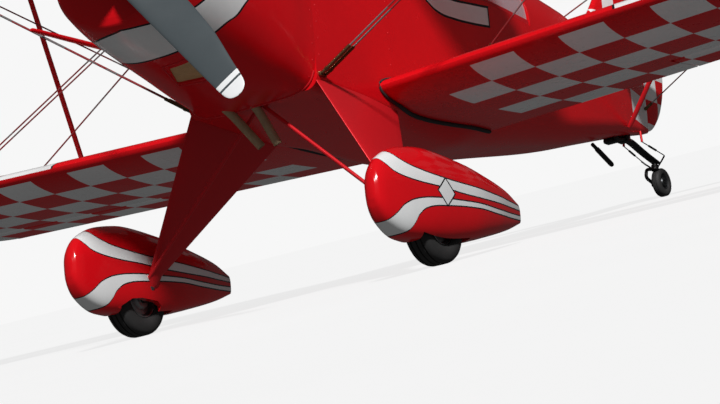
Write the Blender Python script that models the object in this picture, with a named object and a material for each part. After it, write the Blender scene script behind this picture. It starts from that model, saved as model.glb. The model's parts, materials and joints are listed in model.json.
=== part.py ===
"""Single-bay aerobatic biplane, parked on its tailwheel gear.

Everything is drawn in the aircraft's own level frame: X to port, Y aft, Z up, with the
firewall at Y = 0 and the thrust line at Z = 0. One empty then tips that frame back until
all three wheels stand on the floor. Metres throughout.
"""
import math

import bmesh
import bpy
from mathutils import Matrix, Vector

# Driving sizes: gaps
TOUCH_GAP = 0.0005
MOVING_GAP = 0.008

# Driving sizes: wings
CHORD = 1.016
TRAILING_EDGE_HALF = 0.003
SECTION_THICKNESS = 0.13
SECTION_POINTS = 9
LOWER_LE_Y = 0.4874
LOWER_ROOT_Z = -0.3753
LOWER_DIHEDRAL = math.radians(2.3)
LOWER_HALF_SPAN = 2.90
WING_START_X = 0.20
ROOT_GAP = 0.003
UPPER_LE_Y = -0.148
UPPER_Z = 0.902
UPPER_SWEEP = math.radians(6.67)
UPPER_SWEEP_START = 0.42
UPPER_HALF_SPAN = 3.05
UPPER_CENTRE_CHORD = 0.80
CENTRE_CUTOUT_HALF_WIDTH = 0.30

# Driving sizes: ailerons, as fractions of the chord and stations along the span
HINGE_FRACTION = 0.76
AILERON_INBOARD = 1.42
AILERON_OUTBOARD = 2.62
SLAVE_STRUT_X = 1.96
SLAVE_PIVOT_AFT = 0.070
SLAVE_PIVOT_OUT = 0.062
HORN_OFFSET = 0.026
HORN_HALF_THICKNESS = 0.004

# Driving sizes: interplane struts and wires
STRUT_X = 2.38
STRUT_FRONT_FRACTION = 0.20
STRUT_REAR_FRACTION = 0.62
STRUT_WAIST_FRACTIONS = (0.27, 0.34, 0.41, 0.48, 0.55)
STRUT_HALF_THICKNESS = 0.014
STRUT_WAIST = 0.065
STRUT_FLARE = 0.14
STRUT_GAP = 0.003
WIRE_RADIUS = 0.004
FITTING_RADIUS = 0.009
WIRE_PAIR_STEP = 0.030
FLYING_X = 2.20
FLYING_FRONT_FRACTION = 0.20
FLYING_REAR_FRACTION = 0.53
GEAR_END = (0.360, 0.02, -0.400)
REAR_ROOT = (0.589, 0.876, -0.277)
CABANE_END = (0.348, 0.545, 0.660)
CABANE_REAR = (0.342, 0.570, 0.587)
JAVELIN_X = 1.24
JAVELIN_Z = 0.207
JAVELIN_RISE = 0.047
JAVELIN_FRONT_Y = 0.03
JAVELIN_BACK_Y = 0.98
JAVELIN_RADIUS = 0.012

# Driving sizes: cabane struts
CABANE_FOOT_X = 0.290
CABANE_FOOT_Y = (0.06, 0.60)
CABANE_FOOT_RISE = 0.0185
CABANE_HEAD_X = 0.340
CABANE_HEAD_Y = (0.08, 0.50)
CABANE_HEAD_DROP = 0.021
CABANE_RADIUS = 0.015
CABANE_PLATE = 0.016

# Driving sizes: landing gear
AXLE_X = 0.793
AXLE_Y = 0.0878
AXLE_Z = -1.1649
TYRE_RADIUS = 0.165
TYRE_HALF_WIDTH = 0.058
RIM_RADIUS = 0.088
RIM_BORE = 0.022
WELL_GAP = 0.026
WELL_SIDE_GAP = 0.012
LEG_TOP = ((0.336, -0.030, -0.4785), (0.336, 0.620, -0.4785))
LEG_FOOT = ((0.676, 0.060, -1.078), (0.676, 0.140, -1.078))
LEG_HALF_THICKNESS = 0.016
BRACE_PLATE_Y = (0.049, 0.085)
BRACE_TOP = (0.036, 0.058, -0.480)
BRACE_FOOT = (0.590, 0.065, -0.999)
BRACE_RADIUS = 0.009
TAILWHEEL_Y = 3.8039
TAILWHEEL_Z = -0.1513
TAILWHEEL_RADIUS = 0.078
TAILWHEEL_HALF_WIDTH = 0.026
TAILWHEEL_RIM_RADIUS = 0.042
TAILWHEEL_BORE = 0.012
FORK_ARM_X = -0.046
STEER_PIVOT_Y = 3.753
STEER_PIVOT_Z = -0.062

# Driving sizes: propeller
PROPELLER_Y = -1.016
PROPELLER_RADIUS = 1.007
BLADE_ANGLE = math.radians(40.4)
SPINNER_BACK_Y = -0.952
SPINNER_TIP_Y = -1.38
SPINNER_RADIUS = 0.165

# Driving sizes: engine bay and exhausts
COWL_SHELL = 0.012
NOSE_HOLE_RADIUS = 0.075
INTAKE_X = 0.235
INTAKE_Z = 0.015
INTAKE_RADIUS = 0.072
OUTLET = ((-0.10, -0.74), (0.12, -0.74), (0.12, -0.55), (-0.10, -0.55))
EXHAUST_SLOT_SIDE = 0.034
ENGINE_OUTLINE = ((-0.25, -0.74), (0.25, -0.74), (0.25, -0.06), (-0.25, -0.06))
ENGINE_LOW_Z = -0.20
ENGINE_HIGH_Z = 0.11
EXHAUST_PORT_X = -0.005
EXHAUST_STARBOARD_X = -0.126
EXHAUST_RADIUS = 0.020

# Driving sizes: tail
FIN_HINGE_Y = 3.70
ELEVATOR_HINGE_Y = 3.42
TAILPLANE_Z = 0.50
TAILPLANE_THICKNESS = 0.044
TAILPLANE_HALF_SPAN = 1.15
TAIL_EDGE = 0.010

# Driving sizes: cockpit
COCKPIT_FRONT_Y = 1.05
COCKPIT_BACK_Y = 2.00
SILL_Z = 0.27
COCKPIT_FLOOR_Z = -0.425
WALL = 0.025
GLASS = 0.005
MOUTH_HALF_WIDTH = 0.262
WELL_TOP_Z = 0.20
STICK_Y = 1.35
CANOPY_HINGE = (-0.338, 1.52, 0.282)
CANOPY_STATIONS = (
    (COCKPIT_FRONT_Y + 0.010, 0.318, 0.700),
    (1.25, 0.326, 0.775),
    (1.50, 0.318, 0.790),
    (1.75, 0.302, 0.735),
    (COCKPIT_BACK_Y - 0.010, 0.284, 0.612),
)
WINDSCREEN_STATIONS = (
    (0.64, 0.150, 0.46),
    (0.80, 0.262, 0.560),
    (0.92, 0.300, 0.640),
    (COCKPIT_FRONT_Y - 0.003, 0.318, 0.700),
)
WINDSCREEN_LIFT = 0.006
SEAT_HALF_WIDTH = 0.21
SEAT_OUTLINE = ((1.46, -0.300), (1.90, -0.255), (1.955, 0.330), (1.915, 0.335),
                (1.850, -0.200), (1.46, -0.245))
PANEL_HALF_WIDTH = 0.245

# The fuselage: station Y, half width, keel Z, upper longeron Z, deck top Z, lower corner's
# width and height
FUSELAGE_STATIONS = (
    (0.00, 0.345, -0.465, 0.16, 0.290, 0.030, 0.030),
    (0.55, 0.345, -0.467, 0.22, 0.366, 0.050, 0.045),
    (0.80, 0.345, -0.467, 0.24, 0.398, 0.130, 0.100),
    (1.05, 0.345, -0.467, 0.26, 0.430, 0.150, 0.110),
    (1.22, 0.345, -0.464, 0.27, 0.470, 0.160, 0.115),
    (1.55, 0.338, -0.405, 0.28, 0.560, 0.190, 0.145),
    (2.05, 0.290, -0.300, 0.29, 0.600, 0.170, 0.130),
    (2.60, 0.225, -0.179, 0.30, 0.575, 0.130, 0.120),
    (3.02, 0.160, -0.064, 0.31, 0.476, 0.090, 0.090),
    (3.42, 0.080, 0.042, 0.31, 0.470, 0.040, 0.050),
    (3.665, 0.028, 0.097, 0.31, 0.468, 0.010, 0.012),
)

# The engine cowl: station Y, half width, bottom Z, top Z, squareness
COWL_STATIONS = (
    (-0.945, 0.262, -0.270, 0.178, 2.0),
    (-0.935, 0.300, -0.302, 0.195, 2.0),
    (-0.88, 0.332, -0.328, 0.210, 2.0),
    (-0.70, 0.365, -0.382, 0.235, 2.1),
    (-0.40, 0.375, -0.440, 0.265, 2.5),
    (-0.18, 0.366, -0.468, 0.280, 3.4),
    (-0.06, 0.353, -0.473, 0.287, 4.6),
    (-0.003, 0.348, -0.474, 0.288, 6.0),
)

# The wheel pants about the axle's plane: station Y, half width, top Z, bottom Z
PANT_STATIONS = (
    (-0.358, 0.018, -1.030, -1.118),
    (-0.342, 0.038, -0.985, -1.158),
    (-0.285, 0.060, -0.925, -1.216),
    (-0.152, 0.087, -0.866, -1.257),
    (0.035, 0.110, -0.838, -1.250),
    (0.268, 0.116, -0.850, -1.212),
    (0.501, 0.090, -0.877, -1.148),
    (0.688, 0.046, -0.904, -1.088),
    (0.816, 0.012, -0.946, -1.036),
)

# The blades: radius fraction, chord, thickness, pitch in degrees, sideways set
BLADE_STATIONS = (
    (0.02, 0.085, 0.070, 55, 0.000),
    (0.20, 0.135, 0.050, 46, 0.006),
    (0.40, 0.184, 0.030, 32, 0.034),
    (0.65, 0.168, 0.020, 23, 0.034),
    (0.88, 0.116, 0.013, 18, 0.018),
    (0.97, 0.090, 0.009, 16, 0.012),
    (1.00, 0.044, 0.006, 16, 0.010),
)

# Wing tips: distance in from the tip, leading edge set back, trailing edge cut forward
TIP_STATIONS = (
    (0.300, 0.000, 0.000),
    (0.200, 0.018, 0.022),
    (0.110, 0.062, 0.070),
    (0.040, 0.140, 0.160),
    (0.004, 0.260, 0.290),
)

RED = ("red_paint", (0.72, 0.012, 0.020), 0.25, 0.0)
GREY_BLADE = ("grey_blade", (0.060, 0.072, 0.078), 0.35, 0.0)
STEEL = ("steel", (0.42, 0.43, 0.45), 0.35, 1.0)
SILVER = ("silver", (0.62, 0.63, 0.65), 0.30, 1.0)
BROWN_STEEL = ("exhaust_steel", (0.16, 0.12, 0.07), 0.55, 0.6)
BLACK = ("black_paint", (0.012, 0.012, 0.012), 0.45, 0.0)
RUBBER = ("tyre_rubber", (0.018, 0.018, 0.018), 0.80, 0.0)
ENGINE = ("engine_casting", (0.22, 0.21, 0.19), 0.60, 0.5)
GLAZING = ("tinted_glazing", (0.55, 0.62, 0.66), 0.05, 0.0)
LEATHER = ("seat_leather", (0.05, 0.045, 0.04), 0.60, 0.0)
PANEL_BLACK = ("panel_black", (0.02, 0.02, 0.02), 0.50, 0.0)


def clear_scene():
    for obj in list(bpy.data.objects):
        bpy.data.objects.remove(obj, do_unlink=True)


def paint(obj, finish):
    """Give the object its own Principled material."""
    label, colour, roughness, metallic = finish
    material = bpy.data.materials.new(f"{obj.name}_{label}")
    material.use_nodes = True
    shader = material.node_tree.nodes["Principled BSDF"]
    shader.inputs["Base Color"].default_value = (*colour, 1.0)
    shader.inputs["Roughness"].default_value = roughness
    shader.inputs["Metallic"].default_value = metallic
    material.diffuse_color = (*colour, 1.0)
    obj.data.materials.append(material)


def empty(name, place, parent=None):
    obj = bpy.data.objects.new(name, None)
    bpy.context.collection.objects.link(obj)
    obj.parent = parent
    obj.location = place
    return obj


def solid(name, points, faces, finish, parent):
    """Make a mesh object from its parent's points."""
    mesh = bpy.data.meshes.new(name)
    mesh.from_pydata([Vector(p) for p in points], [], faces)
    build = bmesh.new()
    build.from_mesh(mesh)
    bmesh.ops.recalc_face_normals(build, faces=build.faces)
    build.to_mesh(mesh)
    build.free()
    obj = bpy.data.objects.new(name, mesh)
    bpy.context.collection.objects.link(obj)
    obj.parent = parent
    if finish:
        paint(obj, finish)
    return obj


def loft(name, rings, finish, parent):
    """Skin a row of rings that all have the same number of points, and cap both ends."""
    count = len(rings[0])
    points = [p for ring in rings for p in ring]
    faces = [list(range(count)), [len(points) - count + i for i in range(count)]]
    for row in range(len(rings) - 1):
        for i in range(count):
            a = row * count + i
            b = row * count + (i + 1) % count
            faces.append([a, b, b + count, a + count])
    return solid(name, points, faces, finish, parent)


def prism(name, outline, low, high, axis, finish, parent):
    """Extrude an outline of pairs along one axis, from low to high."""
    def place(pair, along):
        point = list(pair)
        point.insert(axis, along)
        return point

    rings = [[place(pair, along) for pair in outline] for along in (low, high)]
    return loft(name, rings, finish, parent)


def rod(name, start, end, radius, finish, parent, sides=8):
    """A straight round bar between two points."""
    return loft(name, rod_rings(start, end, radius, sides), finish, parent)


def rod_rings(start, end, radius, sides=8):
    start = Vector(start)
    end = Vector(end)
    along = (end - start).normalized()
    across = along.cross(Vector((0.13, 0.31, 0.94))).normalized()
    other = along.cross(across)
    turn = [2 * math.pi * (i + 0.5) / sides for i in range(sides)]
    circle = [across * math.cos(a) * radius + other * math.sin(a) * radius for a in turn]
    return [[centre + offset for offset in circle] for centre in (start, end)]


def cut_and_apply(obj, cutters, operation="DIFFERENCE"):
    """Combine with helper solids, bake the result and remove the helpers."""
    for cutter in cutters:
        modifier = obj.modifiers.new(cutter.name, "BOOLEAN")
        modifier.operation = operation
        modifier.solver = "EXACT"
        modifier.object = cutter
    graph = bpy.context.evaluated_depsgraph_get()
    baked = bpy.data.meshes.new_from_object(obj.evaluated_get(graph))
    obj.modifiers.clear()
    obj.data = baked
    for cutter in cutters:
        bpy.data.objects.remove(cutter, do_unlink=True)


def smooth(obj, degrees=35):
    obj.data.shade_smooth()
    obj.data.set_sharp_from_angle(angle=math.radians(degrees))


def between(table, y, column):
    """Read one column of a station table at any Y."""
    for low, high in zip(table, table[1:]):
        if y <= high[0]:
            part = max(0.0, (y - low[0]) / (high[0] - low[0]))
            return low[column] + part * (high[column] - low[column])
    return table[-1][column]


# Wing sections

def half_thickness(fraction, chord=CHORD):
    """Half thickness of the symmetric section at a fraction of its chord."""
    s = min(max(fraction, 0.0), 1.0)
    shape = (0.2969 * math.sqrt(s) - 0.1260 * s - 0.3516 * s ** 2
             + 0.2843 * s ** 3 - 0.1015 * s ** 4)
    return max(5 * SECTION_THICKNESS * shape * chord, TRAILING_EDGE_HALF)


def section(x, le_y, z, chord):
    """One closed ring of the wing section in the plane at x."""
    steps = [0.5 * (1 - math.cos(math.pi * i / SECTION_POINTS)) for i in range(SECTION_POINTS + 1)]
    upper = [(x, le_y + s * chord, z + half_thickness(s, chord)) for s in steps[1:]]
    lower = [(x, le_y + s * chord, z - half_thickness(s, chord)) for s in reversed(steps[1:])]
    return [(x, le_y, z)] + upper + lower


def lower_wing_line(x):
    """Leading edge Y and chord plane Z of the lower wing at a span station."""
    return LOWER_LE_Y, LOWER_ROOT_Z + abs(x) * math.tan(LOWER_DIHEDRAL)


def upper_wing_line(x):
    return UPPER_LE_Y + max(0.0, abs(x) - UPPER_SWEEP_START) * math.tan(UPPER_SWEEP), UPPER_Z


def upper_underside(x, y):
    """Height of the upper wing's lower skin."""
    le_y, z = upper_wing_line(x)
    widening = (abs(x) - CENTRE_CUTOUT_HALF_WIDTH) / (UPPER_SWEEP_START - CENTRE_CUTOUT_HALF_WIDTH)
    part = min(max(widening, 0.0), 1.0)
    chord = UPPER_CENTRE_CHORD + part * (CHORD - UPPER_CENTRE_CHORD)
    return z - half_thickness((y - le_y) / chord, chord)


def tip_rings(side, half_span, line):
    """Rings of the rounded tip, from inboard to the tip."""
    rings = []
    for inboard, set_back, cut in TIP_STATIONS:
        x = half_span - inboard
        le_y, z = line(x)
        rings.append(section(side * x, le_y + set_back, z, CHORD - set_back - cut))
    return rings


def aileron_ring(x, line):
    """Aileron section: round nose about the hinge, flat sides to the trailing edge."""
    le_y, z = line(x)
    hinge_y = le_y + HINGE_FRACTION * CHORD
    radius = half_thickness(HINGE_FRACTION) - TOUCH_GAP
    nose = []
    for i in range(7):
        angle = math.pi / 2 + math.pi * i / 6
        nose.append((x, hinge_y + radius * math.cos(angle), z + radius * math.sin(angle)))
    tail_y = le_y + CHORD
    edge = half_thickness(1.0)
    return nose + [(x, tail_y, z - edge), (x, tail_y, z + edge)]


def make_aileron(name, side, line, parent):
    """Make an aileron, and return its hinge's empty and place."""
    middle = side * (AILERON_INBOARD + AILERON_OUTBOARD) / 2
    le_y, z = line(middle)
    hinge = (middle, le_y + HINGE_FRACTION * CHORD, z)
    pivot = empty(f"{name}_hinge", hinge, parent)
    rings = [aileron_ring(side * x, line) for x in (AILERON_INBOARD, AILERON_OUTBOARD)]
    rings = [[Vector(p) - Vector(hinge) for p in ring] for ring in rings]
    obj = loft(name, rings, None, pivot)
    way = 1 if line is lower_wing_line else -1
    pin = slave_pivot(side * SLAVE_STRUT_X, line, way) - Vector(hinge)
    near = pin.x - side * HORN_OFFSET - HORN_HALF_THICKNESS
    horn = prism("horn", ((pin.y - 0.045, 0.0), (pin.y + 0.045, 0.0),
                          (pin.y + 0.014, pin.z + way * 0.012),
                          (pin.y - 0.014, pin.z + way * 0.012)),
                 near, near + 2 * HORN_HALF_THICKNESS, 0, None, pivot)
    cut_and_apply(obj, [horn], "UNION")
    paint(obj, RED)
    smooth(obj, 50)
    return pivot, Vector(hinge)


def aileron_bay(name, side, line, parent):
    """The space cut from a wing for its aileron."""
    nose = half_thickness(HINGE_FRACTION) + MOVING_GAP
    corners = []
    for x in (AILERON_INBOARD - MOVING_GAP, AILERON_OUTBOARD + MOVING_GAP):
        le_y, z = line(x)
        front = le_y + HINGE_FRACTION * CHORD - nose
        back = le_y + CHORD + 0.05
        corners.append([(side * x, y, z + dz) for y, dz in
                        ((front, -0.1), (front, 0.1), (back, 0.1), (back, -0.1))])
    return loft(name, corners, None, parent)


def make_lower_wing(label, side, parent):
    rings = [section(side * WING_START_X, *lower_wing_line(WING_START_X), CHORD)]
    rings += tip_rings(side, LOWER_HALF_SPAN, lower_wing_line)
    wing = loft(f"lower_wing_{label}", rings, RED, parent)
    hull = [fuselage_ring(*station, inset=-ROOT_GAP) for station in FUSELAGE_STATIONS]
    cut_and_apply(wing, [aileron_bay("bay", side, lower_wing_line, parent),
                         loft("hull", hull, None, parent)])
    smooth(wing)


def make_upper_wing(parent):
    """One piece from tip to tip, with a cut-out over the windscreen."""
    half = []
    inner = ((CENTRE_CUTOUT_HALF_WIDTH, UPPER_CENTRE_CHORD), (UPPER_SWEEP_START, CHORD))
    for x, chord in inner:
        le_y, z = upper_wing_line(x)
        half.append((x, le_y, z, chord))
    for inboard, set_back, cut in TIP_STATIONS:
        x = UPPER_HALF_SPAN - inboard
        le_y, z = upper_wing_line(x)
        half.append((x, le_y + set_back, z, CHORD - set_back - cut))
    rings = [section(-x, y, z, c) for x, y, z, c in reversed(half)]
    rings += [section(x, y, z, c) for x, y, z, c in half]
    wing = loft("upper_wing", rings, RED, parent)
    bays = [aileron_bay(f"bay_{s}", s, upper_wing_line, parent) for s in (-1, 1)]
    cut_and_apply(wing, bays)
    smooth(wing)


def make_ailerons(label, side, parent):
    """Both ailerons of one side and the strut that makes them move as one."""
    pivot, hinge = make_aileron(f"aileron_lower_{label}", side, lower_wing_line, parent)
    make_aileron(f"aileron_upper_{label}", side, upper_wing_line, parent)
    x = side * SLAVE_STRUT_X
    foot = slave_pivot(x, lower_wing_line, 1)
    head = slave_pivot(x, upper_wing_line, -1)
    strut_pivot = empty(f"slave_strut_{label}_pivot", foot - hinge, pivot)
    reach = head - foot
    flat = reach.normalized() * 0.010
    rod(f"slave_strut_{label}", flat * 0.2, reach - flat * 0.2, 0.013, RED, strut_pivot)


def slave_pivot(x, line, way):
    """Where the slave strut is pinned, just outside an aileron's skin."""
    le_y, z = line(x)
    hinge_y = le_y + HINGE_FRACTION * CHORD
    return Vector((x, hinge_y + SLAVE_PIVOT_AFT, z + way * SLAVE_PIVOT_OUT))


# Fuselage

def lower_corner(width, low, across, up):
    """Quarter ellipse from the flat belly round to the side."""
    corner = []
    for i in range(4):
        angle = math.pi / 2 * i / 3
        corner.append((width - across * (1 - math.sin(angle)), low + up * (1 - math.cos(angle))))
    return corner


def fuselage_ring(y, width, keel, longeron, deck, across, up, inset=0.0):
    """Rounded below, arch above: from the keel round to port, over and back."""
    w = width - inset
    low = keel + inset
    arch = []
    for i in range(1, 6):
        angle = math.pi / 2 * i / 6
        arch.append((w * math.cos(angle), longeron + (deck - longeron) * math.sin(angle)))
    port = lower_corner(w, low, across, up) + [(w, longeron)] + arch
    top = [(0.0, deck)]
    starboard = [(-x, z) for x, z in reversed(port)]
    return [(x, y, z) for x, z in port + top + starboard]


def cockpit_floor(y):
    return max(COCKPIT_FLOOR_Z, between(FUSELAGE_STATIONS, y, 2) + WALL)


def make_fuselage(parent):
    rings = [fuselage_ring(*station) for station in FUSELAGE_STATIONS]
    body = loft("fuselage", rings, RED, parent)
    well = []
    for y in (0.60, 0.80, 1.05, 1.22, 1.55, COCKPIT_BACK_Y - 0.03):
        width, across, up = [between(FUSELAGE_STATIONS, y, column) for column in (1, 5, 6)]
        side = lower_corner(width - WALL, cockpit_floor(y), across, up)
        side.append((width - WALL, WELL_TOP_Z))
        ring = side + [(-x, z) for x, z in reversed(side)]
        well.append([(x, y, z) for x, z in ring])
    front = COCKPIT_FRONT_Y + 0.02
    back = COCKPIT_BACK_Y - 0.05
    mouth = prism("mouth", ((-MOUTH_HALF_WIDTH, front), (MOUTH_HALF_WIDTH, front),
                            (MOUTH_HALF_WIDTH, back), (-MOUTH_HALF_WIDTH, back)),
                  0.10, 0.9, 2, None, parent)
    above = prism("above", ((-0.5, COCKPIT_FRONT_Y), (0.5, COCKPIT_FRONT_Y),
                            (0.5, COCKPIT_BACK_Y), (-0.5, COCKPIT_BACK_Y)),
                  SILL_Z, 0.9, 2, None, parent)
    cut_and_apply(body, [loft("well", well, None, parent), mouth, above])
    smooth(body, 25)


def cowl_ring(y, width, bottom, top, squareness, inset=0.0, count=24):
    """Superellipse about the cowl's own centre height."""
    middle = (bottom + top) / 2
    w = width - inset
    h = (top - bottom) / 2 - inset
    ring = []
    for i in range(count):
        angle = 2 * math.pi * (i + 0.5) / count
        c = math.cos(angle)
        s = math.sin(angle)
        x = w * math.copysign(abs(c) ** (2 / squareness), c)
        z = middle + h * math.copysign(abs(s) ** (2 / squareness), s)
        ring.append((x, y, z))
    return ring


def make_cowl(parent):
    cowl = loft("engine_cowl", [cowl_ring(*s) for s in COWL_STATIONS], RED, parent)
    inner = [cowl_ring(*s, inset=COWL_SHELL) for s in COWL_STATIONS[2:-1]]
    last = COWL_STATIONS[-1]
    inner.append(cowl_ring(last[0] + 0.02, *last[1:], inset=COWL_SHELL))
    cuts = [loft("inside", inner, None, parent)]
    cuts.append(nose_opening("nose_hole", 0, 0, NOSE_HOLE_RADIUS, parent))
    for side in (-1, 1):
        cuts.append(nose_opening(f"intake_{side}", side * INTAKE_X, INTAKE_Z, INTAKE_RADIUS,
                                 parent))
    cuts.append(prism("outlet", OUTLET, -0.60, -0.38, 2, None, parent))
    low_x = EXHAUST_STARBOARD_X - EXHAUST_SLOT_SIDE
    high_x = EXHAUST_PORT_X + EXHAUST_SLOT_SIDE
    cuts.append(prism("exhaust_slot", ((low_x, -0.193), (high_x, -0.193), (high_x, 0.05),
                                       (low_x, 0.05)), -0.55, -0.437, 2, None, parent))
    cut_and_apply(cowl, cuts)
    smooth(cowl, 40)


def nose_opening(name, x, z, radius, parent):
    return rod(name, (x, -1.0, z), (x, -0.8, z), radius, None, parent, sides=16)


def make_engine(parent):
    prism("engine_block", ENGINE_OUTLINE, ENGINE_LOW_Z, ENGINE_HIGH_Z, 2, ENGINE, parent)


def make_cabane(label, side, parent):
    """Front and rear legs with a diagonal, in one plane from the longeron to the wing."""
    foot_front, foot_rear = [
        Vector((side * CABANE_FOOT_X, y,
                deck_height(y + 0.03, CABANE_FOOT_X - CABANE_PLATE) + CABANE_FOOT_RISE))
        for y in CABANE_FOOT_Y]
    head_front, head_rear = [
        Vector((side * CABANE_HEAD_X, y, upper_underside(CABANE_HEAD_X, y) - CABANE_HEAD_DROP))
        for y in CABANE_HEAD_Y]
    pairs = ((foot_front, head_front), (foot_rear, head_rear), (foot_front, head_rear))
    rods = [rod(f"cabane_{label}_{i}", a, b, CABANE_RADIUS, None, parent)
            for i, (a, b) in enumerate(pairs)]
    caps = []
    for i, point in enumerate((foot_front, foot_rear, head_front, head_rear)):
        outline = [(point.x + dx * CABANE_PLATE, point.y + dy * 2 * CABANE_PLATE)
                   for dx, dy in ((-1, -1), (1, -1), (1, 1), (-1, 1))]
        caps.append(prism(f"cap_{label}_{i}", outline, point.z - 0.012, point.z + 0.012,
                          2, None, parent))
    frame = caps[0]
    frame.name = f"cabane_struts_{label}"
    cut_and_apply(frame, rods + caps[1:], "UNION")
    paint(frame, RED)


def strut_end(line, fraction, way, gap):
    """Point on the strut's plane just clear of a wing's skin."""
    le_y, z = line(STRUT_X)
    return le_y + fraction * CHORD, z + way * (half_thickness(fraction) + gap)


def make_interplane_strut(label, side, parent):
    """I-shaped strut: broad ends on both spars, narrow waist."""
    fractions = (STRUT_FRONT_FRACTION, *STRUT_WAIST_FRACTIONS, STRUT_REAR_FRACTION)
    foot = [strut_end(lower_wing_line, f, 1, STRUT_GAP) for f in fractions]
    head = [strut_end(upper_wing_line, f, -1, STRUT_GAP) for f in reversed(fractions)]
    low_mid = foot[3]
    top_mid = head[3]
    low_z = low_mid[1] + STRUT_FLARE
    top_z = top_mid[1] - STRUT_FLARE
    slope = (top_mid[0] - low_mid[0]) / (top_mid[1] - low_mid[1])

    def waist_point(z, offset):
        return low_mid[0] + slope * (z - low_mid[1]) + offset, z

    outline = (*foot, waist_point(low_z, STRUT_WAIST), waist_point(top_z, STRUT_WAIST), *head,
               waist_point(top_z, -STRUT_WAIST), waist_point(low_z, -STRUT_WAIST))
    prism(f"interplane_strut_{label}", outline, side * (STRUT_X - STRUT_HALF_THICKNESS),
          side * (STRUT_X + STRUT_HALF_THICKNESS), 0, RED, parent)


def make_wires(name, ends, bar, parent):
    """Wires as straight rods, joined by the fitting bar that their outer ends share."""
    rods = [rod(f"{name}_{i}", a, b, WIRE_RADIUS, None, parent, sides=6)
            for i, (a, b) in enumerate(ends)]
    fitting = rod(name, *bar, FITTING_RADIUS, None, parent, sides=6)
    cut_and_apply(fitting, rods, "UNION")
    paint(fitting, STEEL)


def make_bracing(label, side, parent):
    """Flying wires up to the strut's head, landing wires down to its foot."""
    inboard = side * (STRUT_X - 0.045)
    clear = 0.020
    le_y, plane_z = upper_wing_line(FLYING_X)
    under = plane_z - half_thickness(0.3) - 0.012
    top = [Vector((side * FLYING_X, le_y + f * CHORD, under))
           for f in (FLYING_FRONT_FRACTION, FLYING_REAR_FRACTION)]
    foot = [Vector((inboard, *strut_end(lower_wing_line, f, 1, clear)))
            for f in (STRUT_FRONT_FRACTION, STRUT_REAR_FRACTION)]
    pair = Vector((0, WIRE_PAIR_STEP, 0))
    gear_end, rear_root, cabane_end, cabane_rear = [
        Vector((side * x, y, z)) for x, y, z in (GEAR_END, REAR_ROOT, CABANE_END, CABANE_REAR)]
    make_wires(f"flying_wires_{label}",
               ((gear_end, top[0]), (gear_end + pair, top[0] + pair), (rear_root, top[1])),
               (top[0], top[1] + pair), parent)
    make_wires(f"landing_wires_{label}",
               ((cabane_end, foot[0]), (cabane_end + pair, foot[0] + pair),
                (cabane_rear, foot[1])), (foot[0], foot[1] + pair), parent)
    x = side * JAVELIN_X
    rod(f"javelin_{label}", (x, JAVELIN_FRONT_Y, JAVELIN_Z), (x, JAVELIN_BACK_Y, JAVELIN_Z + JAVELIN_RISE),
        JAVELIN_RADIUS, RED, parent)


# Landing gear

def make_gear_leg(label, side, parent):
    """Flat faired leg, widest at the fuselage."""
    outward = Vector((side * 0.86, 0, 0.50)) * LEG_HALF_THICKNESS
    rings = []
    for ends in (LEG_TOP, LEG_FOOT):
        front, rear = [Vector((side * x, y, z)) for x, y, z in ends]
        across = rear - front
        rings.append([front, front + across * 0.2 + outward, rear - across * 0.2 + outward,
                      rear, rear - across * 0.2 - outward, front + across * 0.2 - outward])
    loft(f"gear_leg_{label}", rings, RED, parent)


def make_gear_brace(parent):
    """A rod from the belly's middle to each axle, joined by the belly plate."""
    front, back = BRACE_PLATE_Y
    outline = ((-0.05, front), (0.05, front), (0.05, back), (-0.05, back))
    plate = prism("gear_brace_rods", outline, -0.484, -0.4685, 2, None, parent)
    rods = []
    for side in (-1, 1):
        ends = [(side * x, y, z) for x, y, z in (BRACE_TOP, BRACE_FOOT)]
        rods.append(rod(f"brace_{side}", *ends, BRACE_RADIUS, None, parent))
    cut_and_apply(plate, rods, "UNION")
    paint(plate, RED)


def make_axle(label, side, parent):
    start = (side * 0.655, AXLE_Y, -1.118)
    end = (side * (AXLE_X - TYRE_HALF_WIDTH - WELL_SIDE_GAP), AXLE_Y, AXLE_Z)
    block = rod(f"axle_{label}", start, end, 0.019, None, parent, sides=10)
    stub = rod(f"stub_{label}", (end[0] - side * 0.01, AXLE_Y, AXLE_Z),
               (side * (AXLE_X + 0.055), AXLE_Y, AXLE_Z), 0.016, None, parent, sides=10)
    cut_and_apply(block, [stub], "UNION")
    paint(block, STEEL)


def pant_ring(y, width, top, bottom, count=16):
    middle = top * 0.55 + bottom * 0.45
    ring = []
    for i in range(count):
        angle = 2 * math.pi * (i + 0.5) / count
        c = math.cos(angle)
        s = math.sin(angle)
        reach = top - middle if s > 0 else middle - bottom
        squareness = 2.0 if s > 0 else 3.4
        x = width * math.copysign(abs(c) ** (2 / squareness), c)
        z = middle + reach * math.copysign(abs(s) ** (2 / squareness), s)
        ring.append((AXLE_X + x, y, z))
    return ring


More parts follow.
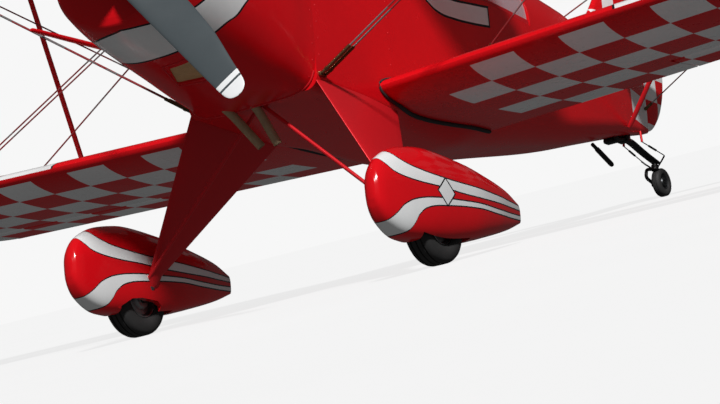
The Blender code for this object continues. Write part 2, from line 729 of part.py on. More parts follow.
def make_wheel_pant(label, side, parent):
    """The port pant, hollowed for its wheel, and its mirror image for the other side."""
    rings = [pant_ring(*station) for station in PANT_STATIONS]
    pant = loft(f"wheel_pant_{label}", rings, RED, parent)
    half = TYRE_HALF_WIDTH + WELL_SIDE_GAP
    well = rod("well", (AXLE_X - half, AXLE_Y, AXLE_Z), (AXLE_X + half, AXLE_Y, AXLE_Z),
               TYRE_RADIUS + WELL_GAP, None, parent, sides=20)
    slot = prism("leg_slot", ((AXLE_Y - 0.055, -1.5), (AXLE_Y + 0.110, -1.5),
                              (AXLE_Y + 0.110, -0.97), (AXLE_Y - 0.055, -0.97)),
                 AXLE_X - 0.25, AXLE_X - half + 0.005, 0, None, parent)
    hole = rod("axle_hole", (AXLE_X - 0.2, AXLE_Y, AXLE_Z), (AXLE_X - half + 0.01, AXLE_Y, AXLE_Z),
               0.030, None, parent, sides=10)
    cut_and_apply(pant, [well, slot, hole])
    if side < 0:
        pant.data.transform(Matrix.Scale(-1, 4, (1, 0, 0)))
        pant.data.flip_normals()
    smooth(pant, 40)


def revolve(name, outline, count, finish, parent, turn=0.0):
    """Closed ring of revolution about the parent's X axis, from X and radius pairs."""
    points = []
    for x, radius in outline:
        for i in range(count):
            angle = turn + 2 * math.pi * i / count
            points.append((x, radius * math.cos(angle), radius * math.sin(angle)))
    faces = []
    for row in range(len(outline)):
        after = (row + 1) % len(outline)
        for i in range(count):
            j = (i + 1) % count
            faces.append([row * count + i, row * count + j, after * count + j, after * count + i])
    return solid(name, points, faces, finish, parent)


def make_main_wheel(label, side, parent, ground_turn):
    hub = empty(f"wheel_{label}_axle", (side * AXLE_X, AXLE_Y, AXLE_Z), parent)
    w = TYRE_HALF_WIDTH
    r = TYRE_RADIUS
    tyre = ((-0.55 * w, RIM_RADIUS), (-0.92 * w, RIM_RADIUS + 0.014), (-w, r - 0.045),
            (-0.82 * w, r - 0.014), (-0.45 * w, r), (0.45 * w, r), (0.82 * w, r - 0.014),
            (w, r - 0.045), (0.92 * w, RIM_RADIUS + 0.014), (0.55 * w, RIM_RADIUS))
    smooth(revolve(f"tyre_{label}", tyre, 32, RUBBER, hub, ground_turn), 50)
    edge = RIM_RADIUS - TOUCH_GAP
    rim = ((-0.050, RIM_BORE), (-0.050, 0.045), (-0.034, 0.055), (-0.040, edge - 0.008),
           (-0.046, edge), (0.046, edge), (0.040, edge - 0.008), (0.034, 0.055),
           (0.050, 0.045), (0.050, RIM_BORE))
    smooth(revolve(f"rim_{label}", rim, 24, SILVER, hub), 40)


# Tail

def tail_surface(name, outline, axis, level, thickness, finish, parent):
    """Flat surface with thin edges: an outline with a thicker, inset plate inside it."""
    middle = [sum(p[k] for p in outline) / len(outline) for k in (0, 1)]
    inset = [tuple(p[k] + (middle[k] - p[k]) * 0.22 for k in (0, 1)) for p in outline]

    def ring(pairs, height):
        points = []
        for pair in pairs:
            point = list(pair)
            point.insert(axis, level + height)
            points.append(point)
        return points

    half = thickness / 2
    edge = TAIL_EDGE / 2
    rings = [ring(inset, -half), ring(outline, -edge), ring(outline, edge), ring(inset, half)]
    return loft(name, rings, finish, parent)


def make_fin(parent):
    base = TAILPLANE_Z + TAILPLANE_THICKNESS / 2 + 0.001
    outline = ((3.03, base), (3.20, 0.72), (3.36, 0.92), (3.47, 1.02), (3.58, 1.065),
               (FIN_HINGE_Y - 0.030, 1.08), (FIN_HINGE_Y - 0.030, base))
    tail_surface("fin", outline, 0, 0.0, 0.040, RED, parent)


def make_rudder(parent):
    hinge = Vector((0, FIN_HINGE_Y, 0.55))
    pivot = empty("rudder_hinge", hinge, parent)
    nose = FIN_HINGE_Y - 0.018
    outline = ((nose, 0.112), (3.763, 0.134), (3.867, 0.235), (3.930, 0.360), (3.955, 0.520),
               (3.950, 0.700), (3.910, 0.880), (3.830, 1.010), (nose, 1.085))
    outline = [(y - hinge.y, z - hinge.z) for y, z in outline]
    tail_surface("rudder", outline, 0, 0.0, 0.036, RED, pivot)


def make_tailplane(parent):
    back = ELEVATOR_HINGE_Y - 0.024
    span = TAILPLANE_HALF_SPAN
    port = ((0.0, 3.02), (0.35, 3.04), (span - 0.25, 3.11), (span - 0.08, 3.19),
            (span, 3.30), (span, back))
    outline = list(port) + [(-x, y) for x, y in reversed(port[1:])]
    tail_surface("tailplane", outline, 2, TAILPLANE_Z, TAILPLANE_THICKNESS, RED, parent)


def make_elevator(parent):
    """Two halves on one torque tube."""
    hinge = Vector((0, ELEVATOR_HINGE_Y, TAILPLANE_Z))
    pivot = empty("elevator_hinge", hinge, parent)
    span = TAILPLANE_HALF_SPAN
    halves = []
    for side in (-1, 1):
        outline = ((0.105, -0.016), (span, -0.016), (span, 0.10), (span - 0.06, 0.20),
                   (span - 0.20, 0.27), (0.55, 0.305), (0.165, 0.315), (0.115, 0.20))
        outline = [(side * x, y) for x, y in outline]
        halves.append(tail_surface(f"elevator_{side}", outline, 2, 0.0, 0.036, None, pivot))
    tube = rod("elevator", (-0.30, 0, 0), (0.30, 0, 0), 0.0135, None, pivot, sides=10)
    cut_and_apply(tube, halves, "UNION")
    paint(tube, RED)


def make_tail_bracing(label, side, parent):
    under = TAILPLANE_Z - TAILPLANE_THICKNESS / 2 - 0.014
    over = TAILPLANE_Z + TAILPLANE_THICKNESS / 2 + 0.010
    rod(f"tail_strut_{label}", (side * 0.118, 3.283, 0.046), (side * 0.475, 3.190, under),
        0.013, RED, parent)
    rod(f"tail_wire_{label}", (side * 0.026, 3.50, 0.930), (side * 0.760, 3.300, over),
        WIRE_RADIUS, STEEL, parent, sides=6)


def make_tail_spring(parent):
    """Leaf spring from the plate under the tail to the steering head."""
    path = ((3.230, -0.013), (3.300, 0.003), (3.430, 0.028), (3.490, 0.030), (3.620, -0.008),
            (STEER_PIVOT_Y + 0.020, STEER_PIVOT_Z + 0.020))
    half = 0.022
    thick = 0.014
    rings = []
    for y, z in path:
        rings.append([(-half, y, z - thick), (half, y, z - thick), (half, y, z), (-half, y, z)])
    loft("tail_spring", rings, BLACK, parent)


def make_tailwheel(parent, pitch):
    """Steering fork and the wheel that turns in it."""
    steer = empty("tailwheel_steer", (0, STEER_PIVOT_Y, STEER_PIVOT_Z), parent)
    steer.rotation_euler = (pitch, 0, 0)
    reach_y = TAILWHEEL_Y - STEER_PIVOT_Y
    reach_z = TAILWHEEL_Z - STEER_PIVOT_Z
    turned = Matrix.Rotation(-pitch, 3, "X") @ Vector((0, reach_y, reach_z))
    head = prism("tailwheel_fork", ((-0.030, -0.030), (0.030, -0.030), (0.030, 0.030),
                                    (-0.030, 0.030)), -0.014, -0.002, 2, None, steer)
    outer_x = FORK_ARM_X - 0.006
    bridge = prism("bridge", ((0.020, -0.018), (outer_x, -0.018), (outer_x, 0.020),
                              (0.020, 0.020)), -0.020, -0.010, 2, None, steer)
    arm = rod("arm", (FORK_ARM_X, 0.0, -0.012), (FORK_ARM_X, turned.y, turned.z), 0.010,
              None, steer)
    pin = rod("pin", (FORK_ARM_X - 0.008, turned.y, turned.z), (0.020, turned.y, turned.z),
              0.0065, None, steer)
    horn = prism("horn", ((-0.085, -0.010), (0.085, -0.010), (0.085, 0.010), (-0.085, 0.010)),
                 -0.010, -0.003, 2, None, steer)
    cut_and_apply(head, [bridge, arm, pin, horn], "UNION")
    paint(head, BLACK)
    hub = empty("tailwheel_axle", turned, steer)
    w = TAILWHEEL_HALF_WIDTH
    r = TAILWHEEL_RADIUS
    edge = TAILWHEEL_RIM_RADIUS
    tyre = ((-0.7 * w, edge), (-w, edge + 0.012), (-0.9 * w, r - 0.008), (-0.45 * w, r),
            (0.45 * w, r), (0.9 * w, r - 0.008), (w, edge + 0.012), (0.7 * w, edge))
    smooth(revolve("tailwheel_tyre", tyre, 24, RUBBER, hub, -math.pi / 2), 50)
    edge -= TOUCH_GAP
    disc = ((-0.022, TAILWHEEL_BORE), (-0.022, 0.020), (-0.014, 0.026), (-0.018, edge),
            (0.018, edge), (0.014, 0.026), (0.022, 0.020), (0.022, TAILWHEEL_BORE))
    smooth(revolve("tailwheel_hub", disc, 20, SILVER, hub), 40)


def make_exhausts(parent):
    """Two bent pipes from under the cowl's rear lip."""
    for label, x_root, y_bend, x_tip, y_tip, z_tip in (
            ("port", EXHAUST_PORT_X, 0.020, 0.050, 0.092, -0.634),
            ("starboard", EXHAUST_STARBOARD_X, -0.018, -0.026, 0.074, -0.633)):
        path = ((x_root, -0.210, -0.370), (x_root, -0.130, -0.445), (x_root, y_bend, -0.495),
                (x_tip, y_tip, z_tip))
        points = [Vector(p) for p in path]
        rings = []
        for i, point in enumerate(points):
            a = points[max(i - 1, 0)]
            b = points[min(i + 1, len(points) - 1)]
            along = (b - a).normalized() * 0.01
            rings.append(rod_rings(point, point + along, EXHAUST_RADIUS)[0])
        smooth(loft(f"exhaust_{label}", rings, BROWN_STEEL, parent), 60)


def make_belly_aerial(parent):
    rod("belly_aerial", (0, 3.060, -0.072), (0, 3.258, -0.151), 0.013, BLACK, parent)


# Cockpit

def canopy_arch(y, width, top, inset, base=SILL_Z + 0.026):
    """Half-ellipse from one sill over to the other."""
    ring = []
    for i in range(13):
        angle = math.pi * i / 12
        ring.append(((width - inset) * math.cos(angle), y,
                     base + (top - inset - base) * math.sin(angle)))
    return ring


def make_canopy(parent):
    """Bubble hinged along the starboard sill."""
    hinge = Vector(CANOPY_HINGE)
    pivot = empty("canopy_hinge", hinge, parent)
    rings = []
    for y, width, top in CANOPY_STATIONS:
        outer = canopy_arch(y, width, top, 0.0)
        inner = canopy_arch(y, width, top, GLASS)
        rings.append(outer + list(reversed(inner)))
    glass = loft("canopy_glass", rings, GLAZING, pivot)
    glass.location = -hinge
    smooth(glass, 40)
    front = CANOPY_STATIONS[0][0] + 0.03
    back = CANOPY_STATIONS[-1][0] - 0.03
    port_out = [(width + 0.010, y) for y, width, _ in CANOPY_STATIONS]
    port_in = [(width - 0.022, min(max(y, front), back)) for y, width, _ in CANOPY_STATIONS]
    ring_outer = port_out + [(-x, y) for x, y in reversed(port_out)]
    ring_inner = port_in + [(-x, y) for x, y in reversed(port_in)]
    low = SILL_Z + 0.002
    high = SILL_Z + 0.0255
    points = []
    for pairs in (ring_outer, ring_inner):
        for z in (low, high):
            points += [(x, y, z) for x, y in pairs]
    n = len(ring_outer)
    faces = []
    for a, b in ((0, n), (n, 3 * n), (3 * n, 2 * n), (2 * n, 0)):
        for i in range(n):
            j = (i + 1) % n
            faces.append([a + i, a + j, b + j, b + i])
    frame = solid("canopy_frame", points, faces, RED, pivot)
    frame.location = -hinge


def make_windscreen(parent):
    """Arch standing on the deck, as high as the canopy at its rear edge."""
    rings = []
    for y, width, top in WINDSCREEN_STATIONS:
        rise = max(top - between(FUSELAGE_STATIONS, y, 4), 0.02)
        outer = []
        inner = []
        for i in range(13):
            angle = math.pi * i / 12
            c = math.cos(angle)
            s = math.sin(angle)
            deck = deck_height(y, width * c)
            inner_deck = deck_height(y, (width - GLASS) * c)
            outer.append((width * c, y, deck + WINDSCREEN_LIFT + rise * s ** 0.8))
            inner.append(((width - GLASS) * c, y,
                          inner_deck + WINDSCREEN_LIFT + (rise - GLASS) * s ** 0.8))
        rings.append(outer + list(reversed(inner)))
    smooth(loft("windscreen", rings, GLAZING, parent), 40)


def deck_height(y, x):
    """Height of the fuselage's upper arch at a place off its middle."""
    w = between(FUSELAGE_STATIONS, y, 1)
    longeron = between(FUSELAGE_STATIONS, y, 3)
    deck = between(FUSELAGE_STATIONS, y, 4)
    return longeron + (deck - longeron) * math.sqrt(max(0.0, 1 - (x / w) ** 2))


def make_cockpit_fittings(parent):
    """Seat, panel and control column."""
    prism("seat", SEAT_OUTLINE, -SEAT_HALF_WIDTH, SEAT_HALF_WIDTH, 0, LEATHER, parent)
    arch = []
    for i in range(9):
        angle = math.pi * i / 8
        arch.append((PANEL_HALF_WIDTH * math.cos(angle), 0.20 + 0.065 * math.sin(angle)))
    panel = [(-PANEL_HALF_WIDTH, -0.05), (PANEL_HALF_WIDTH, -0.05)] + arch
    rings = [[(x, y, z) for x, z in panel] for y in (COCKPIT_FRONT_Y + 0.0215,
                                                     COCKPIT_FRONT_Y + 0.0265)]
    loft("instrument_panel", rings, PANEL_BLACK, parent)
    foot = cockpit_floor(STICK_Y) + 0.012
    rod("control_column", (0, STICK_Y, foot), (0, STICK_Y + 0.01, -0.02), 0.014, BLACK, parent)


# Propeller

def make_propeller(parent):
    """Two-bladed propeller; the visible blade stands low on the port side."""
    pivot = empty("propeller_shaft", (0, PROPELLER_Y, 0), parent)
    pivot.rotation_euler = (0, -BLADE_ANGLE, 0)
    blades = []
    for way in (1, -1):
        rings = []
        for fraction, chord, thick, pitch, sweep in BLADE_STATIONS:
            z = -way * fraction * PROPELLER_RADIUS
            turn = math.radians(pitch) * way
            ring = []
            for i in range(10):
                angle = 2 * math.pi * i / 10
                u = chord / 2 * math.cos(angle) + way * sweep
                v = thick / 2 * math.sin(angle)
                ring.append((u * math.cos(turn) - v * math.sin(turn),
                             u * math.sin(turn) + v * math.cos(turn), z))
            rings.append(ring)
        blades.append(loft(f"blade_{way}", rings, None, pivot))
    shaft = rod("propeller", (0, -0.055, 0), (0, 0.190, 0), 0.060, None, pivot, sides=20)
    cut_and_apply(shaft, blades, "UNION")
    paint(shaft, GREY_BLADE)
    smooth(shaft, 50)
    profile = []
    length = SPINNER_BACK_Y - SPINNER_TIP_Y
    for i in range(9):
        along = i / 8
        radius = SPINNER_RADIUS * math.sqrt(max(0.0, 1 - along ** 2)) ** 0.9
        profile.append((SPINNER_BACK_Y - along * length - PROPELLER_Y, max(radius, 0.004)))
    rings = []
    for y, radius in profile:
        rings.append([(radius * math.cos(2 * math.pi * i / 24), y,
                       radius * math.sin(2 * math.pi * i / 24)) for i in range(24)])
    spinner = loft("spinner", rings, RED, pivot)
    cutters = [rod("bore", (0, 0.5, 0), (0, -0.075, 0), 0.068, None, pivot, sides=20)]
    for way in (1, -1):
        cutters.append(prism(f"blade_slot_{way}", ((-0.075, -0.062), (0.075, -0.062),
                                                  (0.075, 0.08), (-0.075, 0.08)),
                             min(-way * 0.05, -way * 0.3), max(-way * 0.05, -way * 0.3),
                             2, None, pivot))
    cut_and_apply(spinner, cutters)
    smooth(spinner, 40)


def park(level):
    """Tip the level frame back onto its wheels and centre it on the floor."""
    run = TAILWHEEL_Y - AXLE_Y
    rise = TAILWHEEL_Z - AXLE_Z
    drop = TAILWHEEL_RADIUS - TYRE_RADIUS
    pitch = math.atan2(rise, run) - math.asin(drop / math.hypot(run, rise))
    level.rotation_euler = (-pitch, 0, 0)
    return pitch


def centre_on_floor(level, pitch):
    """Put the main wheels on the floor and the middle of the length at Y = 0."""
    axle_height = -AXLE_Y * math.sin(pitch) + AXLE_Z * math.cos(pitch)
    level.location = (0, 0, TYRE_RADIUS - axle_height)
    bpy.context.view_layer.update()
    low = math.inf
    high = -math.inf
    for obj in bpy.data.objects:
        if obj.type != "MESH":
            continue
        for vertex in obj.data.vertices:
            y = (obj.matrix_world @ vertex.co).y
            low = min(low, y)
            high = max(high, y)
    level.location.y = -(low + high) / 2


def main():
    clear_scene()
    level = empty("level_frame", (0, 0, 0))
    pitch = park(level)
    make_fuselage(level)
    make_cowl(level)
    make_engine(level)
    make_upper_wing(level)
    make_fin(level)
    make_rudder(level)
    make_tailplane(level)
    make_elevator(level)
    make_tail_spring(level)
    make_tailwheel(level, pitch)
    make_exhausts(level)
    make_belly_aerial(level)
    make_gear_brace(level)
    make_canopy(level)
    make_windscreen(level)
    make_cockpit_fittings(level)
    make_propeller(level)
    for label, side in (("port", 1), ("starboard", -1)):
        make_lower_wing(label, side, level)
        make_ailerons(label, side, level)
        make_cabane(label, side, level)
        make_interplane_strut(label, side, level)
        make_bracing(label, side, level)
        make_gear_leg(label, side, level)
        make_axle(label, side, level)
        make_wheel_pant(label, side, level)
        make_main_wheel(label, side, level, pitch - math.pi / 2)
        make_tail_bracing(label, side, level)
    centre_on_floor(level, pitch)


main()
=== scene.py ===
"""Looks for a parked single-bay aerobatic biplane, built round its packed CAD part.

Pieces are drawn in the aircraft's own level frame: X to port, Y aft, Z up, firewall at Y = 0,
thrust line at Z = 0. One matrix, read from the propeller's joint, puts them in the row frame.
"""

import json
import math

import bmesh
import bpy
from bpy.props import FloatProperty, FloatVectorProperty, PointerProperty
from mathutils import Matrix, Vector


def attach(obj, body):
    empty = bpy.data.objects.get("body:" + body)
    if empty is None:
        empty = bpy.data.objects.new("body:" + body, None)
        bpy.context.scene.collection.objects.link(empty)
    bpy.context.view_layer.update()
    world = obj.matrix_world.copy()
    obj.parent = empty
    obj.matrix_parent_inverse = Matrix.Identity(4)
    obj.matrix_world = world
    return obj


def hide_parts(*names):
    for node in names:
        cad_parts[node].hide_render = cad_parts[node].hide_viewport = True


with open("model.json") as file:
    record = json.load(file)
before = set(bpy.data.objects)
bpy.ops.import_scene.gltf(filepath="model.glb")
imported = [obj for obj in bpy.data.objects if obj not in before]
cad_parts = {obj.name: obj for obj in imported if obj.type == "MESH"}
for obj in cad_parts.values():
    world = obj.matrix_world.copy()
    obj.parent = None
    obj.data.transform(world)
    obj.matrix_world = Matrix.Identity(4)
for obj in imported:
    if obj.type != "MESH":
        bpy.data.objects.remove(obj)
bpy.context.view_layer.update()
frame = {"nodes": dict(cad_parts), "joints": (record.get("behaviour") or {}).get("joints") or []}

bl_info = {
    "name": "Aerobatic biplane",
    "version": (1, 0, 0),
    "blender": (4, 5, 0),
    "location": "3D View > Sidebar > Biplane",
    "description": "Builds the finished skins, paint and fittings of a parked biplane",
    "category": "Add Mesh",
}

# Where the level frame stands
JOINTS = {joint["name"]: joint for joint in frame["joints"]}
SHAFT = JOINTS["propeller_spin"]
PITCH = math.atan2(-SHAFT["axis"][2], SHAFT["axis"][1])
PROPELLER_Y = -1.016
LEVEL = Matrix.Rotation(-PITCH, 4, "X")
LEVEL.translation = Vector(SHAFT["pos_m"]) - LEVEL.to_3x3() @ Vector((0, PROPELLER_Y, 0))
SIDES = (("port", 1), ("starboard", -1))

# Sizes shared with the part's source
TOUCH_GAP = 0.0005
MOVING_GAP = 0.008
CHORD = 1.016
SECTION_THICKNESS = 0.13
LOWER_LE_Y = 0.4874
LOWER_ROOT_Z = -0.3753
LOWER_DIHEDRAL = math.radians(2.3)
LOWER_HALF_SPAN = 2.90
WING_START_X = 0.20
ROOT_GAP = 0.003
UPPER_LE_Y = -0.148
UPPER_Z = 0.902
UPPER_SWEEP = math.radians(6.67)
UPPER_SWEEP_START = 0.42
UPPER_HALF_SPAN = 3.05
UPPER_CENTRE_CHORD = 0.80
CENTRE_CUTOUT_HALF_WIDTH = 0.30
HINGE_FRACTION = 0.76
AILERON_INBOARD = 1.42
AILERON_OUTBOARD = 2.62
SLAVE_STRUT_X = 1.96
SLAVE_PIVOT_AFT = 0.070
SLAVE_PIVOT_OUT = 0.062
HORN_OFFSET = 0.026
HORN_HALF_THICKNESS = 0.004
STRUT_X = 2.38
FLYING_X = 2.20
GEAR_END = (0.360, 0.02, -0.400)
REAR_ROOT = (0.589, 0.876, -0.277)
CABANE_END = (0.348, 0.545, 0.660)
CABANE_REAR = (0.342, 0.570, 0.587)
JAVELIN_X = 1.24
JAVELIN_Z = 0.207
JAVELIN_RISE = 0.047
JAVELIN_FRONT_Y = 0.03
JAVELIN_BACK_Y = 0.98
LEG_RING = 96
BRACE_TOP = (0.0, 0.058, -0.446)
BRACE_FOOT = (0.700, 0.066, -1.103)
BRACE_RADIUS = 0.0085
AXLE_X = 0.793
AXLE_Y = 0.0878
AXLE_Z = -1.1649
TYRE_RADIUS = 0.165
TYRE_HALF_WIDTH = 0.058
RIM_RADIUS = 0.088
TAILWHEEL_Y = 3.8039
TAILWHEEL_Z = -0.1513
TAILWHEEL_RADIUS = 0.078
TAILWHEEL_HALF_WIDTH = 0.026
TAILWHEEL_RIM_RADIUS = 0.042
STEER_PIVOT_Y = 3.753
STEER_PIVOT_Z = -0.062
PROPELLER_RADIUS = 1.007
BLADE_ANGLE = math.radians(40.4)
SPINNER_BACK_Y = -0.952
SPINNER_TIP_Y = -1.38
SPINNER_RADIUS = 0.165
EXHAUST_RADIUS = 0.020
LIP_TOP_Z = -0.38
EXHAUSTS = {"port": (-0.005, 0.025, 0.050, 0.092, -0.634),
            "starboard": (-0.126, -0.013, -0.026, 0.074, -0.633)}
SCOOP = ((-0.020, -0.563), (0.112, -0.563), (0.083, -0.405), (-0.083, -0.424))
SCOOP_RIM = ((-0.036, -0.590), (0.130, -0.590), (0.094, -0.382), (-0.094, -0.402))
FIN_HINGE_Y = 3.70
ELEVATOR_HINGE_Y = 3.42
TAILPLANE_Z = 0.50
TAILPLANE_THICKNESS = 0.044
TAILPLANE_HALF_SPAN = 1.15
COCKPIT_FRONT_Y = 1.05
COCKPIT_BACK_Y = 2.00
SILL_Z = 0.27
COCKPIT_FLOOR_Z = -0.425
WALL = 0.025
GLASS = 0.005
# Any direction that no bar runs along, to set its cross section by
BAR_CROSS = (0.13, 0.31, 0.94)
WELL_TOP_Z = 0.20
WELL_STATIONS = (0.60, 0.80, 1.05, 1.22, 1.40, 1.55, 1.75, COCKPIT_BACK_Y - 0.03)
MOUTH_HALF_WIDTH = 0.262
ABOVE_DECK_Z = 0.9
TROUGH_GAP = 0.008
COWL_SHELL = 0.012
# Round openings in the cowl's nose: X, Z, radius
NOSE_HOLES = ((0, 0, 0.075), (-0.235, 0.015, 0.072), (0.235, 0.015, 0.072))
# Leg corners, front and rear, where it leaves the fuselage and where it enters the pant
LEG_TOP = ((0.338, 0.000, -0.432), (0.326, 0.650, -0.440))
LEG_LOW = ((0.676, 0.060, -1.078), (0.676, 0.140, -1.078))
LEG_FACE = (0.86, 0, 0.50)
LEG_HALF_THICKNESS = 0.016
# Foot of each leg: X, front Y, back Y, Z, half width
FOOT_RINGS = ((0.668, 0.056, 0.144, -1.060, 0.019), (0.680, 0.062, 0.140, -1.085, 0.019),
              (0.690, 0.072, 0.126, -1.118, 0.017), (0.694, 0.082, 0.112, -1.132, 0.012))
SEAT_HALF_WIDTH = 0.21
PAD_THICKNESS = 0.046
PAD_VOXEL = 0.006
PAD_PRESSURE = 4.0
PAD_FRAMES = 20
PAD_SWELL = 0.016
PAD_CHANNELS = 5
# Side view of the seat pan: Y and Z from the front edge to the top of the back
SEAT_TRAY = ((1.455, -0.292), (1.62, -0.288), (1.80, -0.277), (1.885, -0.250), (1.905, -0.19),
             (1.925, 0.0), (1.945, 0.20), (1.958, 0.335))
STRAP_WIDTH = 0.045
# Straps on the port side, as points of X, Y and Z
SHOULDER_STRAP = ((0.090, 1.960, 0.352), (0.088, 1.905, 0.352), (0.080, 1.868, 0.290),
                  (0.064, 1.832, 0.02), (0.050, 1.790, -0.165), (0.046, 1.700, -0.192))
LAP_STRAP = ((0.205, 1.825, -0.232), (0.195, 1.790, -0.205), (0.120, 1.715, -0.188),
             (0.040, 1.690, -0.184))
STICK_Y = 1.35
# Grip on the stick: set back from the stick's foot, Z, radius
GRIP_RINGS = ((0.0092, -0.070, 0.0150), (0.0095, -0.060, 0.0185), (0.0105, -0.010, 0.0205),
              (0.0110, 0.020, 0.0195), (0.0118, 0.045, 0.0175), (0.0120, 0.052, 0.0100))
PANEL_FACE_Y = COCKPIT_FRONT_Y + 0.0268
DIAL_PITCH = 0.104
DIAL_RADIUS = 0.040
DIAL_ROWS = (0.010, 0.114)
BOLT_CIRCLE = 0.062
BOLT_RADIUS = 0.0055
BOLT_FACE_X = 0.0292
SCREW_RISE = 0.42
# The photo's camera, solved from the photo in the level frame
CAMERA_PLACE = (6.86484815, -9.81064871, -4.05638008)
CAMERA_FORWARD = (-0.52637094, 0.81203125, 0.2520692)
CAMERA_UP = (0.21183492, -0.16186863, 0.9638073)

# Station Y, half width, keel Z, upper longeron Z, deck top Z, lower corner's width and height
FUSELAGE_STATIONS = (
    (0.00, 0.345, -0.465, 0.16, 0.290, 0.060, 0.060),
    (0.30, 0.345, -0.466, 0.19, 0.332, 0.052, 0.050),
    (0.55, 0.345, -0.467, 0.22, 0.366, 0.050, 0.045),
    (0.80, 0.345, -0.467, 0.24, 0.398, 0.130, 0.100),
    (1.05, 0.345, -0.467, 0.26, 0.430, 0.150, 0.110),
    (1.22, 0.345, -0.464, 0.27, 0.470, 0.160, 0.115),
    (1.55, 0.338, -0.405, 0.28, 0.560, 0.190, 0.145),
    (2.05, 0.290, -0.300, 0.29, 0.600, 0.170, 0.130),
    (2.60, 0.225, -0.179, 0.30, 0.575, 0.130, 0.120),
    (3.02, 0.160, -0.064, 0.31, 0.476, 0.090, 0.090),
    (3.42, 0.080, 0.042, 0.31, 0.470, 0.040, 0.050),
    (3.665, 0.028, 0.097, 0.31, 0.468, 0.010, 0.012),
)
# Station Y, half width, bottom Z, top Z, squareness
COWL_STATIONS = (
    (-0.945, 0.262, -0.270, 0.178, 2.0),
    (-0.935, 0.300, -0.302, 0.195, 2.0),
    (-0.88, 0.332, -0.328, 0.210, 2.0),
    (-0.70, 0.365, -0.382, 0.235, 2.1),
    (-0.40, 0.375, -0.440, 0.265, 2.5),
    (-0.18, 0.366, -0.468, 0.280, 3.4),
    (-0.06, 0.353, -0.473, 0.287, 4.6),
    (-0.003, 0.348, -0.474, 0.288, 6.0),
)
# Opening in the inner wall of each wheel pant, as pairs of Y and Z
PANT_OPENING = ((-0.130, -1.30), (-0.090, -1.225), (-0.040, -1.192), (0.020, -1.182),
                (0.130, -1.182), (0.165, -1.196), (0.182, -1.30))
# Station Y, half width, top Z, bottom Z
PANT_STATIONS = (
    (-0.358, 0.018, -1.030, -1.118),
    (-0.342, 0.038, -0.985, -1.158),
    (-0.285, 0.060, -0.925, -1.216),
    (-0.152, 0.087, -0.866, -1.257),
    (0.035, 0.110, -0.838, -1.250),
    (0.268, 0.116, -0.850, -1.212),
    (0.501, 0.090, -0.877, -1.148),
    (0.688, 0.046, -0.904, -1.088),
    (0.816, 0.012, -0.946, -1.036),
)
# Radius fraction, chord, thickness, pitch in degrees, sideways set
BLADE_STATIONS = (
    (0.02, 0.085, 0.070, 55, 0.000),
    (0.12, 0.092, 0.064, 52, 0.002),
    (0.20, 0.135, 0.050, 46, 0.006),
    (0.40, 0.180, 0.030, 32, 0.028),
    (0.65, 0.164, 0.020, 23, 0.022),
    (0.88, 0.122, 0.013, 18, 0.002),
    (0.96, 0.104, 0.010, 16, -0.004),
    (0.985, 0.086, 0.008, 16, -0.005),
    (1.00, 0.052, 0.006, 16, -0.005),
    (1.006, 0.020, 0.003, 16, -0.005),
)
# Distance in from the tip, leading edge set back, trailing edge cut forward
TIP_STATIONS = (
    (0.300, 0.000, 0.000),
    (0.200, 0.018, 0.022),
    (0.110, 0.062, 0.070),
    (0.040, 0.140, 0.160),
    (0.004, 0.260, 0.290),
)

# Painted patterns: the checkers under the lower wing
CHECK_START = 0.5772
CHECK_PITCH = 0.2244
CHECK_ROWS = (0.028, 0.206, 0.415, 0.625, 0.834)
# Distance between the ribs of the wings and tail
RIB_PITCH = 0.19
# Edges of the two bands on each wheel pant, as pairs of Y and Z
PANT_EDGES = {
    "upper_top": ((-0.36, -0.80), (-0.25, -0.90), (-0.184, -0.952), (-0.10, -0.973),
                  (0.016, -0.986), (0.24, -0.989), (0.54, -0.980), (0.80, -0.962)),
    "upper_bottom": ((-0.36, -0.83), (-0.312, -0.925), (-0.290, -0.970), (-0.23, -1.008),
                     (-0.117, -1.023), (0.0, -1.026), (0.23, -1.029), (0.53, -1.008),
                     (0.80, -0.980)),
    "lower_top": ((-0.36, -1.28), (-0.31, -1.222), (-0.263, -1.177), (-0.208, -1.130),
                  (-0.129, -1.100), (0.0, -1.080), (0.11, -1.071), (0.31, -1.055),
                  (0.52, -1.042), (0.80, -1.008)),
    "lower_bottom": ((-0.36, -1.33), (-0.24, -1.262), (-0.185, -1.235), (-0.160, -1.205),
                     (-0.130, -1.160), (-0.068, -1.124), (0.068, -1.100), (0.31, -1.073),
                     (0.51, -1.060), (0.80, -1.024)),
}
# Edges of the side band on the fuselage, as pairs of Y and Z
SIDE_EDGES = {
    "top": ((0.60, 0.46), (0.80, 0.335), (0.966, 0.236), (1.072, 0.204), (1.173, 0.200),
            (1.357, 0.219), (1.56, 0.246)),
    "bottom": ((0.60, 0.42), (0.80, 0.265), (0.90, 0.196), (0.966, 0.152), (1.072, 0.118),
               (1.20, 0.118), (1.34, 0.130), (1.56, 0.160)),
}
SIDE_BAND_END = 1.52
SECOND_BAND_RISE = 0.135
# Edges of the cowl's band: angle in degrees from straight down, and Y
COWL_BAND_FRONT = ((0, -0.896), (27, -0.862), (50, -0.785), (75, -0.70), (100, -0.645),
                   (140, -0.54), (180, -0.50))
COWL_BAND_BACK = ((0, -0.668), (20, -0.658), (34, -0.638), (47, -0.604), (56, -0.579),
                  (63, -0.543), (71, -0.516), (80, -0.470), (100, -0.36), (140, -0.20),
                  (180, -0.15))


# Curves and sections

